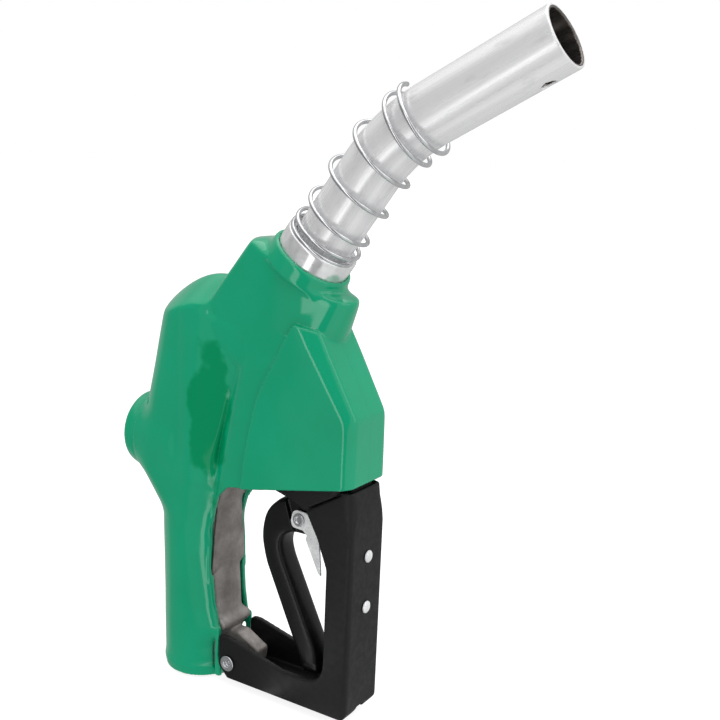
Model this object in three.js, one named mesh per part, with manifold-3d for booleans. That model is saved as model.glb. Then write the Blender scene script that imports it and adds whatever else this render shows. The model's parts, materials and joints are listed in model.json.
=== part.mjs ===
// Automatic shut-off fuel nozzle: cast body in a slip-on cover, bent spout, lever, hold-open clip
// and hand guard. Millimetres, +Z up.
// Origin: on the mid-plane, on the back of the ring-shaped hose inlet face at the foot of the grip.
// +X points from the grip to the hand guard. The nozzle is symmetric about y = 0, apart from its
// screws and balls.
import * as THREE from 'three';
import { mergeVertices } from 'three/addons/utils/BufferGeometryUtils.js';
import { ConvexGeometry } from 'three/addons/geometries/ConvexGeometry.js';
import Module from 'manifold-3d';

const wasm = await Module();
wasm.setup();

const { cos, sin, tan, PI } = Math;
const DEG = PI / 180;

// ---------------------------------------------------------------- driving dimensions

// fits between pieces
const GAP = 0.4;                 // clearance between pieces that don't move on each other
const RUN = 0.3;                 // radial clearance of a sliding piece
const COVER_WALL = 2.2;          // vinyl thickness
const CAST_INSET = COVER_WALL + GAP;

// spout
const SPOUT_R = 15.1;            // outer radius of the tube
const SPOUT_WALL = 2.2;
const SPOUT_BEND_R = 95;         // centre-line radius of the bend
const LOW_TILT = 54 * DEG;       // lower straight of the spout above +X
const TOP_TILT = 28 * DEG;       // upper straight of the spout above +X
const NOSE = new THREE.Vector3(72.4, 0, 239.6);     // where the spout axis leaves the cover
const LOW_LENGTH = 74;           // from NOSE to the crossing of the two straight axes
const TOP_LENGTH = 90.6;         // from that crossing to the tip
const SPOUT_ROOT = -22;          // lower end of the tube along the spout axis, from NOSE
const COLLAR_R = 19.5;
const COLLAR_TOP = 9;            // collar height above the cover

// main valve, on an axis along -X
const VALVE_Z = 132;
const CHAMBER_R = 14.5;
const SEAT_X = 10;               // upstream face of the seat ring
const STEM_R = 3;
const STEM_END_X = 67.6;         // where the stem meets the lever arm
const CAP_FRONT_X = -25;
const CAP_BACK_X = -34.8;

// trip plunger and diaphragm, on an axis along +X
const TRIP_Z = 176;
const PIN_X = 82;                // lever pin
const PLUNGER_R = 5;
const DIAPHRAGM_R = 16.5;

// lever and clip
const ARM_HALF = 5;              // half width of the hidden upper arm
const BAR_HALF = 6.3;            // half width of the bar that the fingers pull
const RIVET = [73.5, 103.5];     // x and z of the clip rivet
const CLIP_PLATE = 1.2;
const CLIP_INNER = 6.9;          // inner face of each clip plate from y = 0

// hand guard
const GUARD_HALF = 16;
const GUARD_WALL = 3.4;
const GUARD_FRONT_X = 111.2;
const GUARD_BACK_X = 27.3;
const GUARD_BOTTOM_Z = 4.5;
const POST_X = 96;               // inner edge of the front post's side walls
const LUG_PIN = [34.4, 14];      // x and z of the pin through the casting's lug
const LUG_HALF = 5;
const RACK_RIVET_Z = [63, 90.5];

// grip and inlet
const INLET_X = 3;               // inlet bore axis, while the pieces are laid out
const INLET_RING_R = 17.65;      // middle of the inlet face's ring
const INLET_R = 13;
const INLET_THREAD_R = 16;
const INLET_THREAD_DEPTH = 20;
const STRIP_HALF = 12;           // half width of the opening on the inner side of the grip

// ---------------------------------------------------------------- geometry helpers

// Returns a mesh closed at its seams, holding position only, with its faces pointing out.
function closed(source) {
  const bare = source.index ? source.toNonIndexed() : source.clone();
  for (const name of Object.keys(bare.attributes)) {
    if (name !== 'position') bare.deleteAttribute(name);
  }
  const merged = mergeVertices(bare, 1e-4);
  const place = merged.attributes.position;
  const index = Array.from(merged.index.array);
  const a = new THREE.Vector3();
  const b = new THREE.Vector3();
  const c = new THREE.Vector3();
  const kept = [];
  let volume = 0;
  for (let i = 0; i < index.length; i += 3) {
    const [i0, i1, i2] = index.slice(i, i + 3);
    if (i0 === i1 || i1 === i2 || i2 === i0) continue;
    kept.push([i0, i1, i2]);
    a.fromBufferAttribute(place, i0);
    b.fromBufferAttribute(place, i1);
    c.fromBufferAttribute(place, i2);
    volume += a.dot(b.cross(c));
  }
  merged.setIndex(kept.flatMap(([i0, i1, i2]) => (volume < 0 ? [i0, i2, i1] : [i0, i1, i2])));
  return merged;
}

function toSolid(geometry) {
  const mesh = closed(geometry);
  return new wasm.Manifold(new wasm.Mesh({
    numProp: 3,
    vertProperties: new Float32Array(mesh.attributes.position.array),
    triVerts: new Uint32Array(mesh.index.array),
  }));
}

function toGeometry(solid) {
  const mesh = solid.getMesh();
  const geometry = new THREE.BufferGeometry();
  geometry.setAttribute('position', new THREE.BufferAttribute(mesh.vertProperties, 3));
  geometry.setIndex(new THREE.BufferAttribute(mesh.triVerts, 1));
  return geometry;
}

// Joins the first list of geometries and cuts the second list out of the result.
function carve(joined, cuts = []) {
  let solid = toSolid(joined[0]);
  for (const piece of joined.slice(1)) solid = solid.add(toSolid(piece));
  for (const tool of cuts) solid = solid.subtract(toSolid(tool));
  return toGeometry(solid);
}

// A turned piece: [radius, height] points of a closed profile, spun about +Z.
function turned(profile, segments = 16) {
  const points = profile.map(([r, h]) => new THREE.Vector2(r, h));
  const first = points[0];
  const last = points[points.length - 1];
  if (first.x > 0 || last.x > 0) points.push(first.clone());
  return closed(new THREE.LatheGeometry(points, segments).rotateX(PI / 2));
}

const rod = (r, from, to, segments = 16) => turned([[0, from], [r, from], [r, to], [0, to]], segments);

const ring = (inner, outer, from, to, segments = 16) =>
  turned([[inner, from], [outer, from], [outer, to], [inner, to]], segments);

function block(x0, x1, y0, y1, z0, z1) {
  const geometry = new THREE.BoxGeometry(x1 - x0, y1 - y0, z1 - z0);
  return geometry.translate((x0 + x1) / 2, (y0 + y1) / 2, (z0 + z1) / 2);
}

// A convex form with round corners: the hull of balls given as [x, y, z, radius], each one also
// mirrored across y = 0. inset shrinks every ball, so the form's whole skin moves inwards.
function rounded(balls, inset = 0, detail = 1) {
  const points = [];
  for (const [x, y, z, r] of balls) {
    const dots = new THREE.IcosahedronGeometry(r - inset, detail).attributes.position;
    for (const side of y === 0 ? [1] : [1, -1]) {
      for (let i = 0; i < dots.count; i += 1) {
        points.push(new THREE.Vector3(
          x + dots.getX(i), side * (y + dots.getY(i)), z + dots.getZ(i)));
      }
    }
  }
  return new ConvexGeometry(points);
}

// A plate drawn in the XZ plane and extruded across y, from -half to +half.
function plate(shape, half, bevel = 0, curveSegments = 4) {
  const geometry = new THREE.ExtrudeGeometry(shape, {
    depth: 2 * (half - bevel),
    bevelEnabled: bevel > 0,
    bevelThickness: bevel,
    bevelSize: bevel,
    bevelOffset: -bevel,
    bevelSegments: 1,
    curveSegments,
  });
  return geometry.translate(0, 0, bevel - half).rotateX(PI / 2);
}

// An outline through [x, z, corner radius] points. A corner never takes more than half an edge.
function outline(corners) {
  const shape = new THREE.Shape();
  const count = corners.length;
  corners.forEach(([x, z, r = 0], i) => {
    const here = new THREE.Vector2(x, z);
    const before = new THREE.Vector2(...corners[(i + count - 1) % count].slice(0, 2)).sub(here);
    const after = new THREE.Vector2(...corners[(i + 1) % count].slice(0, 2)).sub(here);
    const half = Math.abs(before.angleTo(after)) / 2;
    const back = Math.min(r / tan(half), 0.46 * before.length(), 0.46 * after.length());
    const enter = here.clone().add(before.setLength(back));
    const leave = here.clone().add(after.setLength(back));
    if (i === 0) shape.moveTo(enter.x, enter.y);
    else shape.lineTo(enter.x, enter.y);
    if (r > 0) shape.quadraticCurveTo(x, z, leave.x, leave.y);
  });
  shape.closePath();
  return shape;
}

// A round wire along a curve.
function wire(curve, radius, steps, sides = 6) {
  const section = new THREE.Shape();
  for (let i = 0; i < sides; i += 1) {
    const turn = (2 * PI * i) / sides;
    const [x, y] = [radius * cos(turn), radius * sin(turn)];
    if (i === 0) section.moveTo(x, y);
    else section.lineTo(x, y);
  }
  return new THREE.ExtrudeGeometry(section, { steps, bevelEnabled: false, extrudePath: curve });
}

// The centre line of a coil about +Z.
class Coil extends THREE.Curve {
  constructor(radius, from, to, turns) {
    super();
    Object.assign(this, { radius, from, to, turns });
  }

  getPoint(t, target = new THREE.Vector3()) {
    const turn = 2 * PI * this.turns * t;
    return target.set(this.radius * cos(turn), this.radius * sin(turn),
      this.from + (this.to - this.from) * t);
  }
}

const coil = (radius, wireRadius, from, to, turns, perTurn = 8) =>
  wire(new Coil(radius, from + wireRadius, to - wireRadius, turns), wireRadius,
    Math.round(turns * perTurn), 4);

// ---------------------------------------------------------------- materials

const finish = (color, roughness, metalness) =>
  new THREE.MeshStandardMaterial({ color, roughness, metalness });

const vinyl = finish(0x149a6c, 0.25, 0);
const casting = finish(0x8a8683, 0.55, 0.9);
const spoutMetal = finish(0xd4d5d6, 0.25, 1);
const wireSteel = finish(0xc8cacc, 0.18, 1);
const zinc = finish(0xd2d5d6, 0.35, 1);
const blackPlastic = finish(0x222224, 0.5, 0);
const brass = finish(0xb9985a, 0.35, 1);
const rubber = finish(0x1b1b1c, 0.8, 0);

// ---------------------------------------------------------------- scene graph

const nozzle = new THREE.Group();

function addMesh(parent, name, geometry, material) {
  const mesh = new THREE.Mesh(geometry, material);
  mesh.name = name;
  parent.add(mesh);
  return mesh;
}

// A group whose local +Z is a working axis of the nozzle, tilted from +X towards +Z.
function axisGroup(origin, tilt) {
  const group = new THREE.Group();
  group.position.copy(origin);
  group.rotation.y = PI / 2 - tilt;
  nozzle.add(group);
  group.updateMatrixWorld(true);
  return group;
}

const spoutLine = axisGroup(NOSE, LOW_TILT);
const valveLine = axisGroup(new THREE.Vector3(0, 0, VALVE_Z), 0);
const tripLine = axisGroup(new THREE.Vector3(0, 0, TRIP_Z), 0);

// Moves a tool drawn on a working axis into the nozzle's frame, to cut the castings.
const onLine = (group, geometry) => geometry.applyMatrix4(group.matrixWorld);

// ---------------------------------------------------------------- outer forms of body and cover

// A ring of balls that gives a hull a round plan and a soft edge: centre, plan radius, edge radius.
function pad(x, y, z, radius, edge, count = 8) {
  const balls = [];
  for (let i = 0; i < count; i += 1) {
    const turn = (2 * PI * (i + 0.5)) / count;
    const across = y + (radius - edge) * sin(turn);
    if (across > -edge) balls.push([x + (radius - edge) * cos(turn), Math.max(across, 0), z, edge]);
  }
  return balls;
}

// The same ring turned to face along the spout axis, at a height s above NOSE.
function nosePad(s, radius, edge, count = 12) {
  const balls = [];
  for (let i = 0; i <= count / 2; i += 1) {
    const turn = (2 * PI * i) / count;
    const spot = new THREE.Vector3((radius - edge) * cos(turn), (radius - edge) * sin(turn), s);
    spot.applyMatrix4(spoutLine.matrixWorld);
    balls.push([spot.x, Math.max(spot.y, 0), spot.z, edge]);
  }
  return balls;
}

// The round boss over the valve cap, facing -X.
function bossPad(x, radius, edge, count = 12) {
  const balls = [];
  for (let i = 0; i <= count / 2; i += 1) {
    const turn = (2 * PI * i) / count;
    balls.push([x, (radius - edge) * sin(turn), VALVE_Z + (radius - edge) * cos(turn), edge]);
  }
  return balls;
}

const GRIP_R = 22;
const SKIRT_Z = 1;               // foot of the cover
const WALL_HALF = 18.3;          // ball centres of the flat side walls
const outerForms = [
  // grip, leaning a little
  [...pad(3, 0, -20, GRIP_R, 3.2, 16), ...pad(0.8, 0, 96, GRIP_R, 3.2, 16)],
  // rear barrel with the hump over the diaphragm, leaning toward the spout
  [...pad(-20, 4, 118, 18, 4), ...pad(1, 4, 207, 18, 4), ...pad(14, 4, 207, 18, 4),
    ...pad(0.8, 0, 92, GRIP_R, 3.2, 12), ...pad(8, 4, 118, 18, 4),
    [-1, 5, 216, 4], [13, 5, 218, 4]],
  bossPad(-32.4, 21, 6).concat(bossPad(-16, 21, 6)),
  // web between barrel and box
  [[25, WALL_HALF, 100, 3.2], [43, WALL_HALF, 183, 3.2], [76, WALL_HALF, 201, 3.2],
    [46, WALL_HALF, 118, 3.2], [10, 12, 100, 3.2], [10, 12, 195, 3.2]],
  // box around the lever arm and trip plunger
  [[105.8, 9, 108, 3.2], [99.6, 13.8, 108, 3.2], [106.2, 9, 161.5, 3.2], [100.4, 13.8, 160.5, 3.2],
    [84.6, 12, 201.6, 3.2], [76, WALL_HALF, 202, 3.2], [46, WALL_HALF, 132, 3.2],
    [40, WALL_HALF, 104, 3.2]],
  // nose around the spout root
  [...nosePad(-3.5, 24.5, 3.2), [50, 17.6, 240, 3.2], [71, 18, 227.5, 3.2], [87, 14.5, 219, 3.2],
    [92.4, 6, 217.6, 3.2], [38, 6, 240.5, 3.2], [19, 17, 206, 3.2], [76, 17.5, 201, 3.2],
    [40, 17.5, 180, 3.2], [20, 10, 190, 3.2]],
  // throat under the nose, round in plan
  [...pad(80, 0, 216, 15, 3.2), ...pad(74, 0, 192, 15, 3.2), [50, 15, 210, 3.2], [50, 15, 192, 3.2]],
];

const bodyForms = (inset) => outerForms.map((balls) =>
  rounded(balls, inset, balls[0][3] > 5 ? 1 : 0));

// The space under the box: everything in front of the grip, below the sloping lower edge.
const EDGE_FRONT = [108, 128.6];
const EDGE_BACK = [33, 115.3];
function underBox(lift, half) {
  const slope = (EDGE_FRONT[1] - EDGE_BACK[1]) / (EDGE_FRONT[0] - EDGE_BACK[0]);
  const right = 130;
  return plate(outline([
    [20.5, -30], [20.5, 84 + lift], [21.5, 98 + lift, 6], [EDGE_BACK[0] - 2, EDGE_BACK[1] + lift, 9],
    [right, EDGE_FRONT[1] + lift + slope * (right - EDGE_FRONT[0])], [right, -30],
  ]), half);
}

// ---------------------------------------------------------------- body casting

const LUG_OUTLINE = [
  [18, 26.5], [33, 27.4, 3], [46.8, 20.2, 2.5], [46.2, 12.5, 3], [38.5, 8.5, 3], [18, 8.5],
];
const SLOT_HALF = 8.8;
const SLOT_OUTLINE = [
  [50, 90], [50, 119], [54.2, 119], [54.2, 142], [62, 152], [67.6, 162], [67.6, 187],
  [91, 187], [98, 174], [98, 134.8], [110, 134.8], [110, 90],
];
const BRACKET_TOP_Z = 134.2;
const PLUNGER_TUBE_R = 8.6;
const SPRING_BORE_R = 9.4;
const CHECK_BORE_R = 12.5;
const COLLAR_BORE_R = 17.6;
const BEAD_Z = 32;

function bodyCasting() {
  const stripHalf = STRIP_HALF - GAP - 4;
  const spine = [
    rounded([[16, stripHalf, 6, 4], [21.8, stripHalf, 30, 4], [18.8, stripHalf, 84, 4],
      [12, stripHalf, 50, 4]], 0, 0),
    rounded([[18.8, stripHalf, 84, 4], [21.5, stripHalf, 116, 4], [12, stripHalf, 100, 4]], 0, 0),
  ];
  const bead = rounded([[24.4, 8.4, BEAD_Z, 3], [12, 8.4, BEAD_Z, 3]], 0, 0);
  const shell = carve(
    [...bodyForms(CAST_INSET), ...spine, bead],
    [
      block(-80, 80, -60, 60, -60, 0),
      plate(outline([[27, -40], [27, 116.6], [EDGE_FRONT[0], 131], [140, 136.7], [140, -40]]), 60),
      block(56, 140, -60, 60, 90, BRACKET_TOP_Z + GAP),
      block(98.4, 140, -60, 60, 90, 140),
      // fuel way round the plunger tube
      rounded([[30, 4, 132, 9], [28, 4, 186, 9]], 0, 1),
      onLine(spoutLine, rod(CHECK_BORE_R, -72, 40)),
    ],
  );
  const lug = plate(outline(LUG_OUTLINE), LUG_HALF, 1);
  const plungerTube = onLine(tripLine, rod(PLUNGER_TUBE_R, 4, 62));
  const ears = [1, -1].map((side) =>
    block(84, 97.6, side > 0 ? SLOT_HALF : -11.6, side > 0 ? 11.6 : -SLOT_HALF, 124.5, 140));
  return carve([shell, lug, plungerTube, ...ears], [
    onLine(spoutLine, rod(COLLAR_BORE_R, SPOUT_ROOT - GAP, 40, 24)),
    // inlet
    rod(INLET_R, -5, 122).translate(INLET_X, 0, 0),
    rod(INLET_THREAD_R, -5, INLET_THREAD_DEPTH).translate(INLET_X, 0, 0),
    // main valve
    onLine(valveLine, rod(CHAMBER_R, -80, SEAT_X + 4.4)),
    onLine(valveLine, rod(12, SEAT_X + 4, 36)),
    onLine(valveLine, rod(STEM_R + RUN, 30, 80)),
    onLine(valveLine, rod(6.4, 38, 48)),
    onLine(valveLine, rod(7.6, 47.5, 60)),
    // trip plunger, ball groove, spring and diaphragm pocket
    onLine(tripLine, rod(PLUNGER_R + RUN, -5, 80)),
    onLine(tripLine, rod(6.5, 28, 38.5)),
    onLine(tripLine, rod(SPRING_BORE_R, 44, 80)),
    onLine(tripLine, rod(12, -5, 4, 24)),
    onLine(tripLine, rod(DIAPHRAGM_R + 1.2, -60, 0, 24)),
    // lever slot, bracket screws and lug pin
    plate(outline(SLOT_OUTLINE), SLOT_HALF),
    rod(2.3, -20, 20, 12).rotateX(PI / 2).translate(...BRACKET_SCREW),
    rod(3 + RUN, -20, 20, 16).rotateX(PI / 2).translate(LUG_PIN[0], 0, LUG_PIN[1]),
    // spout screw
    onLine(spoutLine, rod(2.9, 14, 40, 12).rotateX(PI / 2).translate(0, 0, SCREW_S)),
  ]);
}
const BRACKET_SCREW = [90, 0, 130.5];
const SCREW_S = -9;

addMesh(nozzle, 'body_casting', bodyCasting(), casting);

// ---------------------------------------------------------------- cover

function cover() {
  const deepBox = rounded([[103, 9, 90, 2], [98, 12.6, 90, 2], [103, 9, 130, 2],
    [98, 12.6, 130, 2], [50, 15, 90, 2], [50, 15, 130, 2]], 0, 0);
  return carve(bodyForms(0), [
    toGeometry(toSolid(carve(bodyForms(COVER_WALL)))),
    deepBox,
    block(-80, 80, -60, 60, -60, SKIRT_Z),
    underBox(0, 60),
    block(12, 60, -STRIP_HALF, STRIP_HALF, -60, 117),
    onLine(spoutLine, rod(COLLAR_R + GAP, -16, 40, 24)),
  ]);
}

addMesh(nozzle, 'cover', cover(), vinyl);

// ---------------------------------------------------------------- spout group

// Centre line of the spout in its own frame: +Z up the lower straight, bending toward +X.
class SpoutPath extends THREE.Curve {
  constructor(shift = 0, from = SPOUT_ROOT, short = 0) {
    super();
    const turn = LOW_TILT - TOP_TILT;
    this.turn = turn;
    this.shift = shift;
    this.tangent = SPOUT_BEND_R * tan(turn / 2);
    this.start = LOW_LENGTH - this.tangent;
    this.arc = SPOUT_BEND_R * turn;
    this.end = this.start + this.arc + TOP_LENGTH - this.tangent - short;
    this.from = from;
  }

  getPoint(t, target = new THREE.Vector3()) {
    const s = this.from + (this.end - this.from) * t;
    const bent = Math.min(Math.max(s - this.start, 0), this.arc) / SPOUT_BEND_R;
    const after = Math.max(s - this.start - this.arc, 0);
    const x = SPOUT_BEND_R * (1 - cos(bent)) + after * sin(bent);
    const z = Math.min(s, this.start) + SPOUT_BEND_R * sin(bent) + after * cos(bent);
    return target.set(x + this.shift * cos(bent), 0, z - this.shift * sin(bent));
  }
}

const SENSOR_R = 3.6;
const SENSOR_BACK = 14.7;        // from the tip to the sensing hole, on the underside

function spoutTube() {
  const outer = new SpoutPath();
  const inner = new SpoutPath(0, SPOUT_ROOT - 2, -2);
  const nearTip = new SpoutPath(0, SPOUT_ROOT, SENSOR_BACK);
  const hole = rod(SENSOR_R, 4, 30, 16).rotateY(PI / 2).rotateY(LOW_TILT - TOP_TILT);
  const spot = nearTip.getPoint(1);
  return carve(
    [wire(outer, SPOUT_R, 12, 24)],
    [wire(inner, SPOUT_R - SPOUT_WALL, 12, 24), hole.translate(spot.x, 0, spot.z)],
  );
}

addMesh(spoutLine, 'spout', spoutTube(), spoutMetal);

addMesh(spoutLine, 'spout_collar', turned([
  [SPOUT_R + RUN, SPOUT_ROOT], [COLLAR_BORE_R - RUN, SPOUT_ROOT], [COLLAR_BORE_R - RUN, -17.6],
  [16.3, -17.6], [16.3, -15.4], [COLLAR_BORE_R - RUN, -15.4], [COLLAR_BORE_R - RUN, -1],
  [COLLAR_R, -1], [COLLAR_R, COLLAR_TOP - 0.8], [COLLAR_R - 0.8, COLLAR_TOP],
  [SPOUT_R + RUN, COLLAR_TOP],
], 24), spoutMetal);

// A ring of round section, such as an O-ring, about +Z.
function roundRing(radius, wireRadius, at) {
  const section = [];
  for (let i = 0; i < 6; i += 1) {
    const turn = (2 * PI * i) / 6;
    section.push([radius + wireRadius * cos(turn), at + wireRadius * sin(turn)]);
  }
  return turned(section, 24);
}

addMesh(spoutLine, 'spout_seal', roundRing(16.95, 0.45, -16.5), rubber);

addMesh(spoutLine, 'spout_screw',
  rod(2.5, COLLAR_BORE_R + RUN, 20.3, 12).rotateX(PI / 2).translate(0, 0, SCREW_S), wireSteel);

addMesh(spoutLine, 'vent_tube', wire(new SpoutPath(8.9, SPOUT_ROOT + 2, SENSOR_BACK + 4), 2.6, 12, 8),
  brass);

// Wire spring that anchors the nozzle in a filler neck: tight coils on the collar, open coils up
// the tube, and two tight coils at its free end.
class AnchorCoil extends THREE.Curve {
  constructor() {
    super();
    this.path = new SpoutPath(0, 0, 0);
    this.parts = [
      { turns: 2, from: COLLAR_TOP + 1.6, to: COLLAR_TOP + 6.5 },
      { turns: 4, from: COLLAR_TOP + 6.5, to: 96 },
      { turns: 1.4, from: 96, to: 100 },
    ];
    this.turns = this.parts.reduce((sum, part) => sum + part.turns, 0);
  }

  getPoint(t, target = new THREE.Vector3()) {
    let turn = t * this.turns;
    let part = this.parts[0];
    for (const next of this.parts) {
      part = next;
      if (turn <= next.turns || next === this.parts[this.parts.length - 1]) break;
      turn -= next.turns;
    }
    const s = part.from + ((part.to - part.from) * turn) / part.turns;
    const along = s / this.path.end;
    const centre = this.path.getPoint(along);
    const ahead = this.path.getPoint(along + 0.01).sub(centre).normalize();
    const side = new THREE.Vector3(ahead.z, 0, -ahead.x);
    const angle = 2 * PI * t * this.turns;
    target.copy(centre).addScaledVector(side, ANCHOR_R * cos(angle));
    target.y += ANCHOR_R * sin(angle);
    return target;
  }
}
const ANCHOR_R = 18.1;
const ANCHOR_WIRE_R = 1.1;

addMesh(spoutLine, 'anchor_spring', wire(new AnchorCoil(), ANCHOR_WIRE_R, 90, 4), wireSteel);

// ---------------------------------------------------------------- check valve in the nose

const CHECK_FIT = CHECK_BORE_R - RUN;
addMesh(spoutLine, 'check_seat', ring(8, CHECK_FIT, -58, -54), brass);
addMesh(spoutLine, 'check_poppet', turned([
  [0, -53.6], [10.5, -53.6], [10.5, -51.6], [3, -50], [1.5, -50], [1.5, -30], [0, -30],
], 24), brass);
addMesh(spoutLine, 'check_spring', coil(5, 0.6, -49.6, -35.8, 5), wireSteel);

function checkGuide() {
  const arms = [0, 1, 2].map((i) =>
    block(-1.2, 1.2, 2.6, CHECK_FIT - 1, -35.2, -32).rotateZ((2 * PI * i) / 3));
  return carve([
    ring(CHECK_FIT - 1.8, CHECK_FIT, -35.2, -31),
    ring(1.5 + RUN, 3.6, -35.2, -31),
    ...arms,
  ]);
}
addMesh(spoutLine, 'check_guide', checkGuide(), brass);

// ---------------------------------------------------------------- main valve

const POPPET_R = 12.2;
const SPRING_SEAT_X = 0.4;
addMesh(valveLine, 'valve_seat', turned([
  [9.5, SEAT_X], [CHAMBER_R - RUN, SEAT_X], [CHAMBER_R - RUN, SEAT_X + 4], [9.5, SEAT_X + 4],
]), brass);
addMesh(valveLine, 'poppet_disc', ring(STEM_R + RUN, POPPET_R, 6.4, SEAT_X - GAP), rubber);
addMesh(valveLine, 'main_poppet', turned([
  [STEM_R + RUN, 1], [10.5, 1], [POPPET_R, 2.4], [POPPET_R, 6], [STEM_R + RUN, 6],
]), brass);
addMesh(valveLine, 'valve_stem', turned([
  [0, -2], [5.2, -2], [5.2, 0.6], [STEM_R, 0.6], [STEM_R, STEM_END_X - 1.2],
  [STEM_R - 1.2, STEM_END_X], [0, STEM_END_X],
]), wireSteel);
addMesh(valveLine, 'main_spring', coil(8.8, 0.9, CAP_FRONT_X + 0.5, SPRING_SEAT_X, 5), wireSteel);
addMesh(valveLine, 'valve_cap', turned([
  [0, CAP_BACK_X], [CHAMBER_R - 1.4, CAP_BACK_X], [CHAMBER_R - RUN, CAP_BACK_X + 1.1],
  [CHAMBER_R - RUN, -30.5], [12.6, -30.5], [12.6, -28.3], [CHAMBER_R - RUN, -28.3],
  [CHAMBER_R - RUN, CAP_FRONT_X], [5, CAP_FRONT_X], [5, -30], [0, -30],
]), spoutMetal);
addMesh(valveLine, 'valve_cap_seal', roundRing(13.5, 0.65, -29.4), rubber);
addMesh(valveLine, 'stem_packing', ring(STEM_R + RUN, 6.1, 38.4, 46.6), rubber);

function packingNut() {
  const hexagon = rod(8, 54.6, 57.6, 6);
  return carve([ring(STEM_R + RUN, 7.3, 47.9, 55), hexagon], [rod(STEM_R + RUN, 40, 70)]);
}
addMesh(valveLine, 'packing_nut', packingNut(), brass);

// ---------------------------------------------------------------- diaphragm and trip plunger

const CAP_SCREW_R = 13.6;
addMesh(tripLine, 'diaphragm', turned([
  [2.6, -2.4], [8, -2.4], [10, -1.2], [12.2, -2.4], [DIAPHRAGM_R + 0.8, -2.4],
  [DIAPHRAGM_R + 0.8, -1.2], [12.2, -1.2], [10, -0.2], [8, -1.2], [2.6, -1.2],
]), rubber);

function diaphragmCap() {
  const screws = [0, 1, 2, 3].map((i) => {
    const turn = PI / 4 + (i * PI) / 2;
    return rod(1.6, -20, 20, 10).translate(CAP_SCREW_R * cos(turn), CAP_SCREW_R * sin(turn), 0);
  });
  return carve([turned([
    [0, -15.5], [8.5, -15.5], [10.5, -13.5], [10.5, -8], [DIAPHRAGM_R + 0.8, -8],
    [DIAPHRAGM_R + 0.8, -2.9], [8, -2.9], [8, -13], [0, -13],
  ])], screws);
}
addMesh(tripLine, 'diaphragm_cap', diaphragmCap(), zinc);

for (let i = 0; i < 4; i += 1) {
  const turn = PI / 4 + (i * PI) / 2;
  const screw = addMesh(tripLine, `cap_screw_${i + 1}`, turned([
    [0, -10.8], [2.6, -10.8], [2.6, -8.4], [1.2, -8.4], [1.2, -3.2], [0, -3.2],
  ], 12), wireSteel);
  screw.position.set(CAP_SCREW_R * cos(turn), CAP_SCREW_R * sin(turn), 0);
}
addMesh(tripLine, 'diaphragm_spring', coil(5.6, 0.6, -12.6, -3.2, 4), wireSteel);
addMesh(tripLine, 'latch_pin', turned([
  [0, -3], [4, -3], [4, -2.7], [2.2, -2.7], [2.2, -0.9], [4, -0.9], [4, 0.2], [2.2, 0.2],
  [2.2, 32.6], [1.2, 34], [0, 34],
], 16), wireSteel);

const BALL_X = 31.2;
const BALL_R = 1.75;
const BALL_OUT = 4.2;
for (let i = 0; i < 3; i += 1) {
  const turn = (2 * PI * i) / 3;
  const ball = addMesh(tripLine, `latch_ball_${i + 1}`,
    closed(new THREE.IcosahedronGeometry(BALL_R, 1)), wireSteel);
  ball.position.set(BALL_OUT * cos(turn), BALL_OUT * sin(turn), BALL_X);
}

const CLEVIS_R = 6.4;
const CLEVIS_HALF = 8.2;
function plunger() {
  const stem = turned([
    [0, 26], [PLUNGER_R, 26], [PLUNGER_R, 44.4], [8.6, 44.4], [8.6, 46.8], [PLUNGER_R, 46.8],
    [PLUNGER_R, 72], [0, 72],
  ]);
  const base = block(-6, 6, -CLEVIS_HALF, CLEVIS_HALF, 70, 74);
  const fork = carve([
    rod(CLEVIS_R, -CLEVIS_HALF, CLEVIS_HALF).rotateX(PI / 2).translate(0, 0, PIN_X),
    block(-6, 6, -CLEVIS_HALF, CLEVIS_HALF, 72, PIN_X),
  ], [
    block(-10, 10, -ARM_HALF - GAP, ARM_HALF + GAP, 74, 100),
    rod(2.5 + RUN, -20, 20, 16).rotateX(PI / 2).translate(0, 0, PIN_X),
  ]);
  const ballHoles = [0, 1, 2].map((i) =>
    rod(BALL_R + 0.2, 1, 8, 10).rotateY(PI / 2).translate(0, 0, BALL_X).rotateZ((2 * PI * i) / 3));
  return carve([stem, base, fork], [rod(2.2 + RUN, 20, 40, 16), ...ballHoles]);
}
addMesh(tripLine, 'trip_plunger', plunger(), brass);
addMesh(tripLine, 'plunger_spring', coil(7, 0.7, 47.1, 61.8, 4.5), wireSteel);
addMesh(tripLine, 'plunger_bush',
  ring(PLUNGER_R + RUN, SPRING_BORE_R - RUN, 62.2, 67), brass);
addMesh(tripLine, 'lever_pin',
  rod(2.5, -CLEVIS_HALF, CLEVIS_HALF, 16).rotateX(PI / 2).translate(0, 0, PIN_X), wireSteel);

// ---------------------------------------------------------------- lever and hold-open clip

const ARM_FACE_X = STEM_END_X + GAP;
const EYE_R = 7;

function lever() {
  const bar = plate(outline([
    [ARM_FACE_X, 118, 3], [ARM_FACE_X, 112.5, 3], [51, 108.5, 13], [46.4, 84, 9],
    [77, 20, 4.5], [88.5, 19.5, 4], [85.5, 31.5], [59.3, 83, 8], [60.5, 93.5, 7],
    [80, 94.5, 4], [80, 118, 3],
  ]), BAR_HALF, 1.4);
  const arm = plate(outline([
    [ARM_FACE_X, 106], [ARM_FACE_X, 150, 3], [75.4, 170], [80, 182.4], [88.6, 178], [80, 150, 3],
    [80, 106],
  ]), ARM_HALF);
  const eye = rod(EYE_R, -ARM_HALF, ARM_HALF, 24).rotateX(PI / 2).translate(PIN_X, 0, TRIP_Z);
  return carve([bar, arm, eye], [
    rod(2.5 + RUN, -20, 20, 16).rotateX(PI / 2).translate(PIN_X, 0, TRIP_Z),
    rod(2.5 + RUN, -20, 20, 16).rotateX(PI / 2).translate(RIVET[0], 0, RIVET[1]),
    block(60, 100, BAR_HALF - 1.2, 20, 112.6, 140),
    block(60, 100, -20, -BAR_HALF + 1.2, 112.6, 140),
  ]);
}
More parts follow.
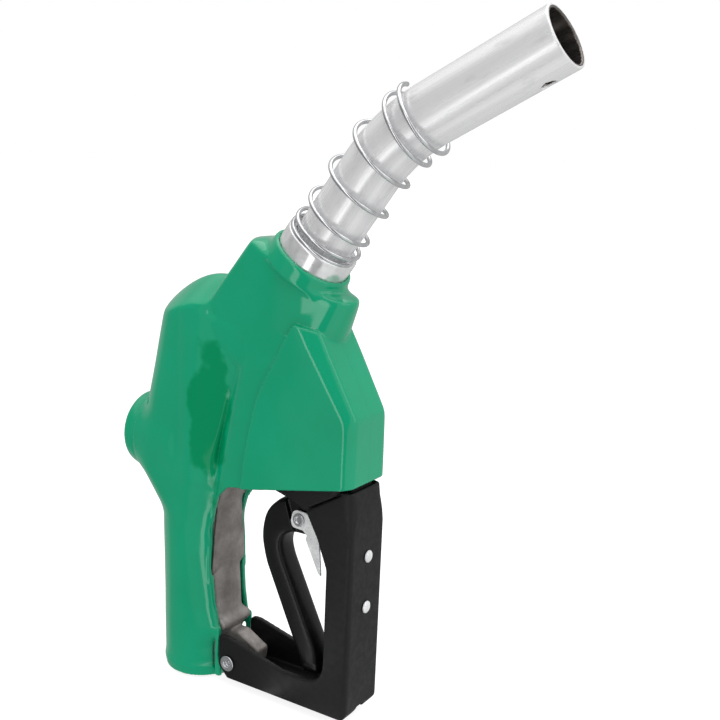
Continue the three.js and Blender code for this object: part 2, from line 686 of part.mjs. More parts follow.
addMesh(nozzle, 'lever', lever(), blackPlastic);

const CLIP_OUTER = CLIP_INNER + CLIP_PLATE;
function clip() {
  const [x, z] = RIVET;
  const side = outline([
    [x - 5.4, z - 1.5, 4], [x - 4, z + 5, 4], [x + 4.5, z + 4.6, 3], [x + 9, z + 1, 3],
    [x + 12.2, z - 6], [x + 13.4, z - 14], [x + 14.8, z - 28.2], [x + 12.6, z - 26],
    [x + 4.2, z - 9.6], [x + 5, z - 7.5], [x + 2.4, z - 5.4, 2], [x - 4.4, z - 5, 4],
  ]);
  return carve([plate(side, CLIP_OUTER)], [
    block(x - 20, x + 10.6, -CLIP_INNER, CLIP_INNER, z - 60, z + 20),
    block(x - 20, x + 40, -CLIP_INNER, CLIP_INNER, z - 60, z - 13),
    block(x - 20, x + 40, -CLIP_INNER, CLIP_INNER, z - 2, z + 20),
    rod(2.5 + RUN, -20, 20, 16).rotateX(PI / 2).translate(x, 0, z),
  ]);
}
addMesh(nozzle, 'hold_open_clip', clip(), zinc);

const RIVET_HEAD = 0.9;
addMesh(nozzle, 'clip_rivet', turned([
  [0, -CLIP_OUTER - RIVET_HEAD], [2.8, -CLIP_OUTER - RIVET_HEAD], [3.5, -CLIP_OUTER - 0.3],
  [2.5, -CLIP_OUTER - 0.3], [2.5, CLIP_OUTER + 0.3], [3.5, CLIP_OUTER + 0.3],
  [2.8, CLIP_OUTER + RIVET_HEAD], [0, CLIP_OUTER + RIVET_HEAD],
]).rotateX(PI / 2).translate(RIVET[0], 0, RIVET[1]), wireSteel);
addMesh(nozzle, 'clip_spring',
  coil(4.3, 0.4, CLIP_OUTER + 0.25, CLIP_OUTER + 2.9, 2.5).rotateX(-PI / 2)
    .translate(RIVET[0], 0, RIVET[1]), wireSteel);

// ---------------------------------------------------------------- hand guard and bracket

const SEAM_INNER = [82.5, 112.3];      // lower end of the seam between guard and bracket
const SEAM_OUTER = [102.2, 124.2];     // upper end, under the cover
const CHANNEL_HALF = GUARD_HALF - GUARD_WALL;
const WEB_X = GUARD_FRONT_X - 3.6;     // inner face of the guard's front web

const alongY = (geometry, x, z) => geometry.rotateX(PI / 2).translate(x, 0, z);
const alongX = (geometry, z) => geometry.rotateY(PI / 2).translate(0, 0, z);

function handGuard() {
  const side = outline([
    [GUARD_BACK_X, 28.9, 4], [GUARD_BACK_X, 11, 4], [33.5, GUARD_BOTTOM_Z],
    [108.4, GUARD_BOTTOM_Z], [GUARD_FRONT_X, 8], [GUARD_FRONT_X, 113], [108.6, 126.4],
    [SEAM_OUTER[0], 126.4], SEAM_OUTER, SEAM_INNER, [90, 99, 6], [POST_X, 84, 9],
    [POST_X, 20.5, 15], [70, 20.5, 12], [34, 28.9],
  ]);
  return carve([plate(side, GUARD_HALF, 1.2)], [
    block(20, WEB_X, -CHANNEL_HALF, CHANNEL_HALF, GUARD_BOTTOM_Z + 3.4, 140),
    block(104, 120, -4.4, 4.4, 0, 8),
    alongY(rod(3 + RUN, -20, 20, 16), ...LUG_PIN),
    ...RACK_RIVET_Z.map((z) => alongX(rod(2 + RUN, 100, 120, 14), z)),
  ]);
}
addMesh(nozzle, 'hand_guard', handGuard(), blackPlastic);

const BRACKET_HALF = 14.3;
const CHEEK = 2.1;
function guardBracket() {
  const lift = 0.45;
  const cheek = outline([
    [57.4, 119.7], [74, 115.2], [SEAM_INNER[0] - 1, SEAM_INNER[1] + lift],
    [101.6, SEAM_OUTER[1] + lift - 0.3], [101.6, BRACKET_TOP_Z], [57.4, BRACKET_TOP_Z],
  ]);
  // slanting front corners that follow the cover's chamfered box
  const corners = [1, -1].map((side) =>
    block(-10, 10, -10, 10, -40, 40).rotateZ(side * 54.3 * DEG).translate(104.8, side * 22, 110));
  return carve([plate(cheek, BRACKET_HALF)], [
    ...corners,
    block(40, 98.8, -BRACKET_HALF + CHEEK, BRACKET_HALF - CHEEK, 100, 140),
    rod(2.3, -20, 20, 12).rotateX(PI / 2).translate(...BRACKET_SCREW),
  ]);
}
addMesh(nozzle, 'guard_bracket', guardBracket(), blackPlastic);

['near', 'far'].forEach((name, i) => {
  const side = i === 0 ? -1 : 1;
  const screw = addMesh(nozzle, `bracket_screw_${name}`,
    rod(2, -2.6, 2.6, 12).rotateX(PI / 2), wireSteel);
  screw.position.set(BRACKET_SCREW[0], side * 11.6, BRACKET_SCREW[2]);
});

const PIN_FLANGE = GUARD_HALF + RUN;
addMesh(nozzle, 'guard_pin', alongY(turned([
  [0, 3 - PIN_FLANGE], [1.9, 3 - PIN_FLANGE], [1.9, -PIN_FLANGE - 1], [3.6, -PIN_FLANGE - 1],
  [4.3, -PIN_FLANGE - 0.4], [4.3, -PIN_FLANGE], [3, -PIN_FLANGE], [3, PIN_FLANGE],
  [4.3, PIN_FLANGE], [4.3, PIN_FLANGE + 0.4], [3.6, PIN_FLANGE + 1], [1.9, PIN_FLANGE + 1],
  [1.9, PIN_FLANGE - 3], [0, PIN_FLANGE - 3],
]), ...LUG_PIN), wireSteel);

const RACK_X = [105.2, WEB_X - RUN];
const RACK_HALF = 9;
function rackPlate() {
  const [back, front] = RACK_X;
  const corners = [[front, 50], [front, 104]];
  const teeth = 5;
  corners.push([back, 104]);
  for (let i = 0; i < teeth; i += 1) {
    const z = 84 - i * 4;
    corners.push([back, z], [back + 1, z], [back, z - 3]);
  }
  corners.push([back, 50]);
  return carve([plate(outline(corners), RACK_HALF)],
    RACK_RIVET_Z.map((z) => alongX(rod(2 + RUN, 100, 120, 14), z)));
}
addMesh(nozzle, 'rack_plate', rackPlate(), wireSteel);

['lower', 'upper'].forEach((name, i) => {
  const front = GUARD_FRONT_X + RUN;
  addMesh(nozzle, `rack_rivet_${name}`, alongX(turned([
    [0, RACK_X[0] - 1], [2.6, RACK_X[0] - 1], [2.6, RACK_X[0] - RUN], [2, RACK_X[0] - RUN],
    [2, front], [3.3, front], [3.1, front + 0.6], [2.2, front + 1], [0, front + 1.1],
  ]), RACK_RIVET_Z[i]), wireSteel);
});

// The pieces are laid out about the grip. The whole nozzle then moves so that the origin lies on the
// back of its ring-shaped inlet face.
const row = new THREE.Group();
row.add(nozzle);
nozzle.position.x = INLET_RING_R - INLET_X;

export default row;
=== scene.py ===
import json
import math
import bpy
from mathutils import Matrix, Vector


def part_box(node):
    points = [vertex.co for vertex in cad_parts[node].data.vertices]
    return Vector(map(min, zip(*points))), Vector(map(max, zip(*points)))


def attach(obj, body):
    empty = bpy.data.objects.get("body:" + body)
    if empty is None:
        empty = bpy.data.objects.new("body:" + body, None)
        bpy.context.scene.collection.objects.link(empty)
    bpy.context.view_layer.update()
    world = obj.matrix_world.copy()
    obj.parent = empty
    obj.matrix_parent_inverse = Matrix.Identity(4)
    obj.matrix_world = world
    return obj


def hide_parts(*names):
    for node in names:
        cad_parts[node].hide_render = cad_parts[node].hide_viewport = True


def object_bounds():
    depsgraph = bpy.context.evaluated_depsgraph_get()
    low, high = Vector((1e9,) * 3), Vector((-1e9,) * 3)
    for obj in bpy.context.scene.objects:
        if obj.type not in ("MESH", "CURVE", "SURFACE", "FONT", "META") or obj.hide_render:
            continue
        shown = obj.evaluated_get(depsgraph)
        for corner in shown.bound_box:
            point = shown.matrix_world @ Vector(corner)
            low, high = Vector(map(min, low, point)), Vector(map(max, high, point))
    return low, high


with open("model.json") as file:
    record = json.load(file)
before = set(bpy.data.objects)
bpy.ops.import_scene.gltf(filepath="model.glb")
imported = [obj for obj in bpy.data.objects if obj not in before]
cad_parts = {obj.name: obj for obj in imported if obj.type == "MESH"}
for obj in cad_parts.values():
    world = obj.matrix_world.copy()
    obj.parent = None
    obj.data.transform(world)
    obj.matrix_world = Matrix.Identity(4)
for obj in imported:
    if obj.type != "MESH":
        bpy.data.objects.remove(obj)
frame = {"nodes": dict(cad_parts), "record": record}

from concurrent.futures import ThreadPoolExecutor
from itertools import combinations, product

import bmesh
import bpy
import numpy as np
from mathutils import Matrix, Vector

cad_low, cad_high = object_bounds()

# Fuel nozzle. Shapes are laid out in millimetres about the grip: +Z up along the grip, +X towards the
# hand guard, mirror plane y = 0. The frame's origin, on the back of the inlet face, is at x = ORIGIN_X
# of this layout, so every point is moved and turned into metres when a mesh is made.
MM = 0.001
ORIGIN_X = -14.65
ORIGIN = np.array([ORIGIN_X, 0.0, 0.0])

# ------------------------------------------------------------------ driving dimensions

SPOUT_R = 15.1  # spout tube, outside
SPOUT_WALL = 2.2
BEND_R = 95.0  # centre line of the spout's bend
LOW_TILT = math.radians(54)  # lower straight of the spout above +X
TOP_TILT = math.radians(28)  # upper straight of the spout above +X
NOSE = np.array([72.4, 0.0, 239.6])  # where the spout axis leaves the cover
LOW_LENGTH = 74.0  # from NOSE to the crossing of the two straight axes
TOP_LENGTH = 90.6  # from that crossing to the tip
SPOUT_ROOT = -22.0  # lower end of the tube, along the spout from NOSE
SPOUT_TURN = LOW_TILT - TOP_TILT
BEND_START = LOW_LENGTH - BEND_R * math.tan(SPOUT_TURN / 2)
SPOUT_END = BEND_START + BEND_R * SPOUT_TURN + TOP_LENGTH - BEND_R * math.tan(SPOUT_TURN / 2)
SOCKET_R = 17.6  # bore in the casting that the collar sits in
COLLAR_R = 19.5
COLLAR_TOP = 9.0
SENSOR_BACK = 14.7  # sensing hole, back from the spout's tip
SENSOR_R = 3.6

VALVE_Z = 132.0  # axis of the main valve and its boss
TRIP_Z = 176.0  # axis of the trip plunger and the diaphragm
GRIP_R = 22.0
GRIP_TOP = 93.0  # the grip swells into the barrel from here ...
BARREL_FOOT = 118.0  # ... to here
BARREL_TOP = 207.0
WALL = 2.2  # cover thickness
CAST_INSET = 2.6  # from the cover's outside to the casting
STRIP_HALF = 12.0  # half width of the opening along the grip
INLET_X = 3.0  # axis of the hose inlet
INLET_R = 13.0
THREAD_R = 16.0
THREAD_DEPTH = 20.0
THREAD_PITCH = 1.8

GUARD_HALF = 16.0
GUARD_WALL = 3.4
GUARD_FRONT = 111.2
GUARD_BOTTOM = 4.5
LUG_PIN = (34.4, 14.0)  # x and z of the pin through the casting's lug
LUG_PIN_BORE = 3.3
BRACKET_SCREW = (90.0, 130.5)  # x and z of the screws that hold the bracket
RACK_RIVET_Z = (63.0, 90.5)
SMALL_BORE = 2.3  # bore for a bracket screw or a rack rivet
RIVET_BORE = 2.8  # bore for the lever pin or the clip rivet


def metres(points):
    """Layout points in millimetres as frame points in metres."""
    return (np.asarray(points, float) - ORIGIN) * MM


def layout_box(node, grow=0.0):
    """Lowest and highest corner of a CAD node, moved out by grow, in layout millimetres."""
    low, high = [np.array(tuple(corner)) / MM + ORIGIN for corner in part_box(node)]
    return low - grow, high + grow


def middle(node):
    """Centre of a CAD node's box, in layout millimetres."""
    low, high = layout_box(node)
    return (low + high) / 2


# ------------------------------------------------------------------ distance fields
# A field takes arrays x, y, z in millimetres and returns about the distance to a form's skin,
# negative inside.


def soft_max(fields, soft):
    """The larger of the fields, with the edges where they meet rounded by about soft millimetres."""
    top = fields[0]
    for value in fields[1:]:
        top = np.maximum(top, value)
    total = sum(np.exp((value - top) / soft) for value in fields)
    return top + soft * np.log(total)


def fuse(a, b, fillet):
    """Joins two fields with a fillet in the inner corner."""
    h = np.clip(0.5 + 0.5 * (b - a) / fillet, 0, 1)
    return b + (a - b) * h - fillet * h * (1 - h)


def cut(a, b, edge):
    """Takes field b out of field a, with a rounded edge."""
    return -fuse(-a, b, edge)


def hull(corners, grow, soft):
    """Field of the convex hull of [x, y, z] corners, each also mirrored across y = 0. The hull is grown
    by grow, and its edges are rounded by about soft."""
    both = [(x, side * y, z) for x, y, z in corners for side in (1, -1)]
    points = np.unique(np.array(both, float), axis=0)
    planes = {}
    for i, j, k in combinations(range(len(points)), 3):
        normal = np.cross(points[j] - points[i], points[k] - points[i])
        size = np.linalg.norm(normal)
        if size < 1e-6:
            continue
        normal = normal / size
        reach = (points - points[i]) @ normal
        if reach.max() > 1e-6 and reach.min() < -1e-6:
            continue
        normal = normal if reach.max() <= 1e-6 else -normal
        planes[tuple(np.round(normal, 3) + 0.0)] = (normal, points[i] @ normal + grow)
    sides = list(planes.values())

    def field(x, y, z):
        return soft_max([n[0] * x + n[1] * y + n[2] * z - d for n, d in sides], soft)

    return field


def arc_corners(corners):
    """Dense outline through [a, b, radius] corners, with each corner turned into an arc-like curve."""
    points = []
    count = len(corners)
    for i, corner in enumerate(corners):
        here = np.array(corner[:2], float)
        radius = corner[2] if len(corner) > 2 else 0
        if radius == 0:
            points.append(here)
            continue
        before = np.array(corners[i - 1][:2], float) - here
        after = np.array(corners[(i + 1) % count][:2], float) - here
        long_before, long_after = np.linalg.norm(before), np.linalg.norm(after)
        before, after = before / long_before, after / long_after
        half = math.acos(float(np.clip(before @ after, -1, 1))) / 2
        back = min(radius / math.tan(half), 0.48 * long_before, 0.48 * long_after)
        for t in np.linspace(0, 1, 7):
            enter, leave = here + before * back, here + after * back
            points.append((1 - t) ** 2 * enter + 2 * t * (1 - t) * here + t * t * leave)
    return np.array(points)


def outline(corners):
    """Signed distance to a closed outline in the XZ plane."""
    points = arc_corners(corners)

    def field(x, z):
        nearest = np.full(x.shape, 1e9, x.dtype)
        sign = np.ones(x.shape, x.dtype)
        for (ax, az), (bx, bz) in zip(points, np.roll(points, -1, axis=0)):
            ex, ez = bx - ax, bz - az
            wx, wz = x - ax, z - az
            along = np.clip((wx * ex + wz * ez) / (ex * ex + ez * ez), 0, 1)
            dx, dz = wx - ex * along, wz - ez * along
            nearest = np.minimum(nearest, dx * dx + dz * dz)
            above, below = z >= az, z < bz
            left = ex * wz > ez * wx
            flip = (above & below & left) | (~above & ~below & ~left)
            sign = np.where(flip, -sign, sign)
        return sign * np.sqrt(nearest)

    return field


def slab(flat, y, half, soft):
    """A field in the XZ plane pulled out to -half and +half in y."""
    return soft_max([flat, np.abs(y) - half], soft)


def box(x, y, z, low, high, soft=0.4):
    """Field of a box from its lowest and highest corners."""
    sides = [low[0] - x, x - high[0], low[1] - y, y - high[1], low[2] - z, z - high[2]]
    return soft_max(sides, soft)


def bend(value, knots, heights, soft=5.0):
    """A line through knots with its corners rounded."""
    steps = np.linspace(-soft, soft, 5)
    return sum(np.interp(value + s, knots, heights) for s in steps) / len(steps)


def nose_place(x, z):
    """Where a point is by the spout's lower straight: off its axis towards its underside, and along it."""
    side = (x - NOSE[0]) * math.sin(LOW_TILT) - (z - NOSE[2]) * math.cos(LOW_TILT)
    ahead = (x - NOSE[0]) * math.cos(LOW_TILT) + (z - NOSE[2]) * math.sin(LOW_TILT)
    return side, ahead


def spout_place(x, y, z):
    """Where a point is by the spout's bent centre line: along it, and off it towards its underside and
    across the nozzle."""
    u, w = nose_place(x, z)
    # centre of the bend, in the frame of the lower straight
    cu, cw = BEND_R, BEND_START
    angle = np.clip(np.arctan2(w - cw, cu - u), 0, SPOUT_TURN)
    out = np.hypot(u - cu, w - cw)
    low = w < cw
    after = (w - cw) * math.cos(SPOUT_TURN) - (cu - u) * math.sin(SPOUT_TURN)
    top = (~low) & (np.arctan2(w - cw, cu - u) > SPOUT_TURN)
    along = np.where(low, w, BEND_START + BEND_R * angle)
    along = np.where(top, BEND_START + BEND_R * SPOUT_TURN + after, along)
    side_top = BEND_R - ((cu - u) * math.cos(SPOUT_TURN) + (w - cw) * math.sin(SPOUT_TURN))
    side = np.where(low, u, BEND_R - out)
    side = np.where(top, side_top, side)
    return along, side, y


def spout_point(along, side=0.0, across=0.0):
    """The layout point at a place by the spout's centre line: spout_place turned round."""
    bent = min(max(along - BEND_START, 0), BEND_R * SPOUT_TURN) / BEND_R
    after = max(along - BEND_START - BEND_R * SPOUT_TURN, 0)
    u = BEND_R * (1 - math.cos(bent)) + after * math.sin(bent) + side * math.cos(bent)
    w = min(along, BEND_START) + BEND_R * math.sin(bent) + after * math.cos(bent) - side * math.sin(bent)
    x = NOSE[0] + u * math.sin(LOW_TILT) + w * math.cos(LOW_TILT)
    z = NOSE[2] - u * math.cos(LOW_TILT) + w * math.sin(LOW_TILT)
    return np.array([x, across, z])


# ------------------------------------------------------------------ meshes from fields


def evaluate(field, points):
    """Field values at an (n, 3) array of points, worked out in blocks side by side."""
    blocks = np.array_split(points.astype(np.float32), max(1, len(points) // 30000))
    with ThreadPoolExecutor() as pool:
        return np.concatenate(list(pool.map(lambda block: field(*block.T), blocks)))


def sample(field, low, high, step):
    """Field values on a grid. Only cells near the skin are worked out at full detail."""
    rough = 4
    cells = [int(math.ceil((b - a) / step / rough)) for a, b in zip(low, high)]
    axes = [low[i] + step * np.arange(cells[i] * rough + 1) for i in range(3)]
    middles = np.meshgrid(*[axis[rough // 2::rough] for axis in axes], indexing="ij")
    about = evaluate(field, np.stack([m.ravel() for m in middles], axis=1)).reshape(cells)
    near = np.abs(about) < 0.5 * math.sqrt(3) * rough * step * 1.45
    for axis in range(3):
        about = np.repeat(about, rough, axis=axis)
        near = np.repeat(near, rough, axis=axis)
    values = np.pad(about, ((0, 1), (0, 1), (0, 1)), mode="edge")
    mask = np.zeros(values.shape, bool)
    nx, ny, nz = near.shape
    for i, j, k in product((0, 1), repeat=3):
        mask[i: nx + i, j: ny + j, k: nz + k] |= near
    spots = np.argwhere(mask)
    places = np.stack([axes[n][spots[:, n]] for n in range(3)], axis=1)
    values[mask] = evaluate(field, places)
    return values


CORNERS = np.array([(1, 1, 1), (1, -1, -1), (-1, 1, -1), (-1, -1, 1)]) / math.sqrt(3)


def slope_at(field, points):
    """(value, gradient) of a field from four nearby points each."""
    reach = 0.12
    values = [evaluate(field, points + corner * reach) for corner in CORNERS]
    slope = sum(value[:, None] * corner for value, corner in zip(values, CORNERS)) * 0.75 / reach
    return sum(values) / 4, slope


def skin(field, low, high, step):
    """(points, quads, normals) of a field's zero surface: one point per crossed cell, one quad per
    crossed grid edge, then each point slid onto the surface."""
    values = sample(field, low, high, step)
    inside = values < 0
    nx, ny, nz = (n - 1 for n in inside.shape)
    count = sum(inside[i: nx + i, j: ny + j, k: nz + k].astype(np.int8)
                for i, j, k in product((0, 1), repeat=3))
    mixed = (count > 0) & (count < 8)
    cells = np.argwhere(mixed)
    number = np.full(mixed.shape, -1, np.int64)
    number[mixed] = np.arange(len(cells))
    total, hits = np.zeros((len(cells), 3)), np.zeros(len(cells))
    quads = []
    for axis in range(3):
        u, v = (axis + 1) % 3, (axis + 2) % 3
        for du, dv in product((0, 1), repeat=2):
            a = cells.copy()
            a[:, u] += du
            a[:, v] += dv
            b = a.copy()
            b[:, axis] += 1
            fa, fb = values[tuple(a.T)], values[tuple(b.T)]
            crossed = (fa < 0) != (fb < 0)
            spot = a[crossed].astype(float)
            spot[:, axis] += fa[crossed] / (fa[crossed] - fb[crossed])
            total[crossed] += spot
            hits += crossed
        lower = np.take(inside, range(inside.shape[axis] - 1), axis=axis)
        upper = np.take(inside, range(1, inside.shape[axis]), axis=axis)
        edges = np.argwhere(lower != upper)
        edges = edges[(edges[:, u] > 0) & (edges[:, v] > 0)
                      & (edges[:, u] < mixed.shape[u]) & (edges[:, v] < mixed.shape[v])]
        ring = []
        for du, dv in ((1, 1), (0, 1), (0, 0), (1, 0)):
            cell = edges.copy()
            cell[:, u] -= du
            cell[:, v] -= dv
            ring.append(number[tuple(cell.T)])
        quad = np.stack(ring, axis=1)
        facing_back = upper[tuple(edges.T)]
        quad[facing_back] = quad[facing_back][:, ::-1]
        quads.append(quad)
    quads = np.concatenate(quads)
    points = np.array(low) + step * total / hits[:, None]
    points = settle(field, points, step, 1)
    points = even_out(points, quads)
    points = settle(field, points, step, 2)
    slopes = slope_at(field, points)[1]
    normals = slopes / np.maximum(np.linalg.norm(slopes, axis=1), 1e-9)[:, None]
    return points, quads, normals


def settle(field, points, step, rounds):
    """Slides points along the field's slope onto its zero surface."""
    for _ in range(rounds):
        values, slopes = slope_at(field, points)
        size = np.maximum(np.linalg.norm(slopes, axis=1), 0.3)
        move = np.clip(values / size, -0.5 * step, 0.5 * step)
        points = points - slopes * (move / size)[:, None]
    return points


def even_out(points, quads):
    """Slides each point half way to the middle of its neighbours."""
    total, hits = np.zeros_like(points), np.zeros(len(points))
    for a, b in ((0, 1), (1, 2), (2, 3), (3, 0)):
        for one, other in ((a, b), (b, a)):
            for axis in range(3):
                total[:, axis] += np.bincount(quads[:, one], points[quads[:, other], axis], len(points))
            hits += np.bincount(quads[:, one], minlength=len(points))
    return 0.5 * points + 0.5 * total / np.maximum(hits, 1)[:, None]


def new_object(name, data):
    obj = bpy.data.objects.new(name, data)
    bpy.context.scene.collection.objects.link(obj)
    return obj


def add_mesh(name, points, faces, normals):
    """A new smooth object from points in millimetres."""
    mesh = bpy.data.meshes.new(name)
    mesh.from_pydata(metres(points).tolist(), [], np.asarray(faces).tolist())
    mesh.polygons.foreach_set("use_smooth", [True] * len(mesh.polygons))
    mesh.normals_split_custom_set_from_vertices(np.asarray(normals).tolist())
    mesh.update()
    return new_object(name, mesh)


def finish_piece(obj, body, node, look=None):
    """Puts a piece on a body, in place of a CAD node and in that node's finish."""
    slot = SLOTS[node]
    obj.data.materials.append(look or LOOKS[slot])
    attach(obj, body)
    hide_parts(node)


def moulded(name, field, step, body, node, look=None, grow=2):
    """A piece with a field's skin, in quads about step across, in place of a CAD node."""
    obj = add_mesh(name, *skin(field, *layout_box(node, grow=grow), step))
    finish_piece(obj, body, node, look)


# ------------------------------------------------------------------ turned and swept pieces


def frame_of(direction):
    """Rotation whose third column is direction and whose second stays near +Y."""
    w = np.array(direction, float)
    w /= np.linalg.norm(w)
    v = np.array([0.0, 1.0, 0.0]) if abs(w[1]) < 0.9 else np.array([0.0, 0.0, 1.0])
    u = np.cross(v, w)
    u /= np.linalg.norm(u)
    return np.stack([u, np.cross(w, u), w], axis=1)


def add_ring(mesh, centre, one, other, radius, count):
    """A ring of vertices in the plane of two unit vectors, or one vertex where the radius is 0."""
    if radius < 1e-6:
        return [mesh.verts.new(metres(centre))]
    turns = 2 * math.pi * np.arange(count) / count
    spots = [centre + radius * (one * math.cos(turn) + other * math.sin(turn)) for turn in turns]
    return [mesh.verts.new(metres(spot)) for spot in spots]


def join_rings(mesh, a, b, count):
    for i in range(count):
        n = (i + 1) % count
        corners = dict.fromkeys([a[i % len(a)], a[n % len(a)], b[n % len(b)], b[i % len(b)]])
        if len(corners) > 2:
            mesh.faces.new(list(corners))


def turned(name, profile, origin, direction, segments=72):
    """A solid spun about an axis from a closed profile of [radius, height, corner radius]."""
    one, other, axis = frame_of(direction).T
    mesh = bmesh.new()
    rings = [add_ring(mesh, origin + height * axis, one, other, radius, segments)
             for radius, height in arc_corners(profile)]
    pairs = [*zip(rings, rings[1:])]
    if len(rings[0]) > 1 or len(rings[-1]) > 1:
        pairs.append((rings[-1], rings[0]))
    for a, b in pairs:
        join_rings(mesh, a, b, segments)
    bmesh.ops.recalc_face_normals(mesh, faces=mesh.faces)
    return from_bmesh(name, mesh)


def from_bmesh(name, mesh, crease=35):
    """A new object from a bmesh, smooth apart from edges sharper than crease degrees."""
    for face in mesh.faces:
        face.smooth = True
    for edge in mesh.edges:
        if len(edge.link_faces) == 2:
            edge.smooth = edge.calc_face_angle(0) < math.radians(crease)
    data = bpy.data.meshes.new(name)
    mesh.to_mesh(data)
    mesh.free()
    return new_object(name, data)


def double_ended(half):
    """Closed profile of a pin that is alike at both ends, from its upper half: out from the middle, and
    in to the axis."""
    profile = half + [(p[0], -p[1], *p[2:]) for p in reversed(half)][:-1]
    start = profile.index(half[-1])
    return profile[start:] + profile[:start]


def swept_wire(name, points, radius, sides=16, start_up=(0, 1, 0)):
    """Round wire through points in millimetres, with rounded ends."""
    points = np.array(points, float)
    ahead = np.gradient(points, axis=0)
    ahead /= np.linalg.norm(ahead, axis=1)[:, None]
    up = np.array(start_up, float)
    mesh = bmesh.new()
    rings = []
    ends = [(0.0, -0.95), (0.6, -0.8), (1.0, 0.0)]
    count = len(points)
    rows = [(0, s, shift) for s, shift in ends] + [(i, 1.0, 0.0) for i in range(1, count - 1)]
    rows += [(count - 1, s, -shift) for s, shift in reversed(ends)]
    for i, scale, shift in rows:
        side = np.cross(ahead[i], up)
        side /= np.linalg.norm(side)
        up = np.cross(side, ahead[i])
        centre = points[i] + ahead[i] * shift * radius
        rings.append(add_ring(mesh, centre, side, up, radius * scale, sides))
    for a, b in zip(rings, rings[1:]):
        join_rings(mesh, a, b, sides)
    bmesh.ops.recalc_face_normals(mesh, faces=mesh.faces)
    return from_bmesh(name, mesh, 60)


# ------------------------------------------------------------------ materials


class Nodes:
    """The node tree of a material or world, with short calls for adding and joining nodes."""

    def __init__(self, owner):
        owner.use_nodes = True
        self.tree = owner.node_tree

    def add(self, kind, **values):
        node = self.tree.nodes.new(kind)
        for key, value in values.items():
            setattr(node, key, value)
        return node

    def join(self, source, target):
        self.tree.links.new(source, target)

    def put(self, target, value):
        """Joins a socket to an input, or sets the input to a plain value."""
        if isinstance(value, bpy.types.NodeSocket):
            self.join(value, target)
        else:
            target.default_value = value

    def noise(self, scale, detail=3.0, rough=0.5, stretch=None, place=None):
        """Noise from 0 to 1 whose scale is in grains per metre."""
        node = self.add("ShaderNodeTexNoise")
        node.inputs["Scale"].default_value = scale
        node.inputs["Detail"].default_value = detail
        node.inputs["Roughness"].default_value = rough
        place = place or self.place
        if stretch:
            mapping = self.add("ShaderNodeMapping")
            mapping.inputs["Scale"].default_value = stretch
            self.join(place, mapping.inputs["Vector"])
            place = mapping.outputs["Vector"]
        self.join(place, node.inputs["Vector"])
        return node.outputs["Fac"]

    def ramp(self, source, low, high, a=0.35, b=0.65):
        """Maps source from a..b to low..high, as numbers."""
        node = self.add("ShaderNodeMapRange", clamp=True)
        for key, value in (("From Min", a), ("From Max", b), ("To Min", low), ("To Max", high)):
            node.inputs[key].default_value = value
        self.join(source, node.inputs["Value"])
        return node.outputs["Result"]

    def mix(self, factor, one, two):
        node = self.add("ShaderNodeMix", data_type="RGBA")
        for key, value in ((0, factor), (6, one), (7, two)):
            self.put(node.inputs[key], value)
        return node.outputs[2]

    def maths(self, operation, one, two=None):
        node = self.add("ShaderNodeMath", operation=operation)
        self.put(node.inputs[0], one)
        if two is not None:
            self.put(node.inputs[1], two)
        return node.outputs[0]

    def bump(self, height, distance, strength=1.0, under=None):
        node = self.add("ShaderNodeBump")
        node.inputs["Strength"].default_value = strength
        node.inputs["Distance"].default_value = distance
        self.join(height, node.inputs["Height"])
        if under is not None:
            self.join(under, node.inputs["Normal"])
        return node.outputs["Normal"]

    def ray(self, kind):
        """1 on a ray of a kind, such as Camera, and 0 on others."""
        return self.add("ShaderNodeLightPath").outputs[f"Is {kind} Ray"]

    def split(self, vector):
        """The x, y and z of a vector."""
        node = self.add("ShaderNodeSeparateXYZ")
        self.join(vector, node.inputs["Vector"])
        return node.outputs


class Look(Nodes):
    """A new material with one Principled shader, whose inputs are set by name."""

    def __init__(self, name):
        self.material = bpy.data.materials.new(name)
        super().__init__(self.material)
        self.bsdf = self.tree.nodes["Principled BSDF"]
        self.place = self.add("ShaderNodeTexCoord").outputs["Object"]

    def set(self, name, value):
        self.put(self.bsdf.inputs[name], value)


def linear(red, green, blue):
    """sRGB from 0 to 255 as a linear colour."""
    values = []
    for v in (red, green, blue):
        c = v / 255
        values.append(c / 12.92 if c <= 0.04045 else ((c + 0.055) / 1.055) ** 2.4)
    return (*values, 1.0)


# the painted dark reflection in the hollow between the barrel and the box: its middle and half size, in
# metres
PAINTED_REFLECTION_X, PAINTED_REFLECTION_Z = 0.036, 0.152
PAINTED_REFLECTION_WIDE, PAINTED_REFLECTION_TALL = 0.013, 0.042


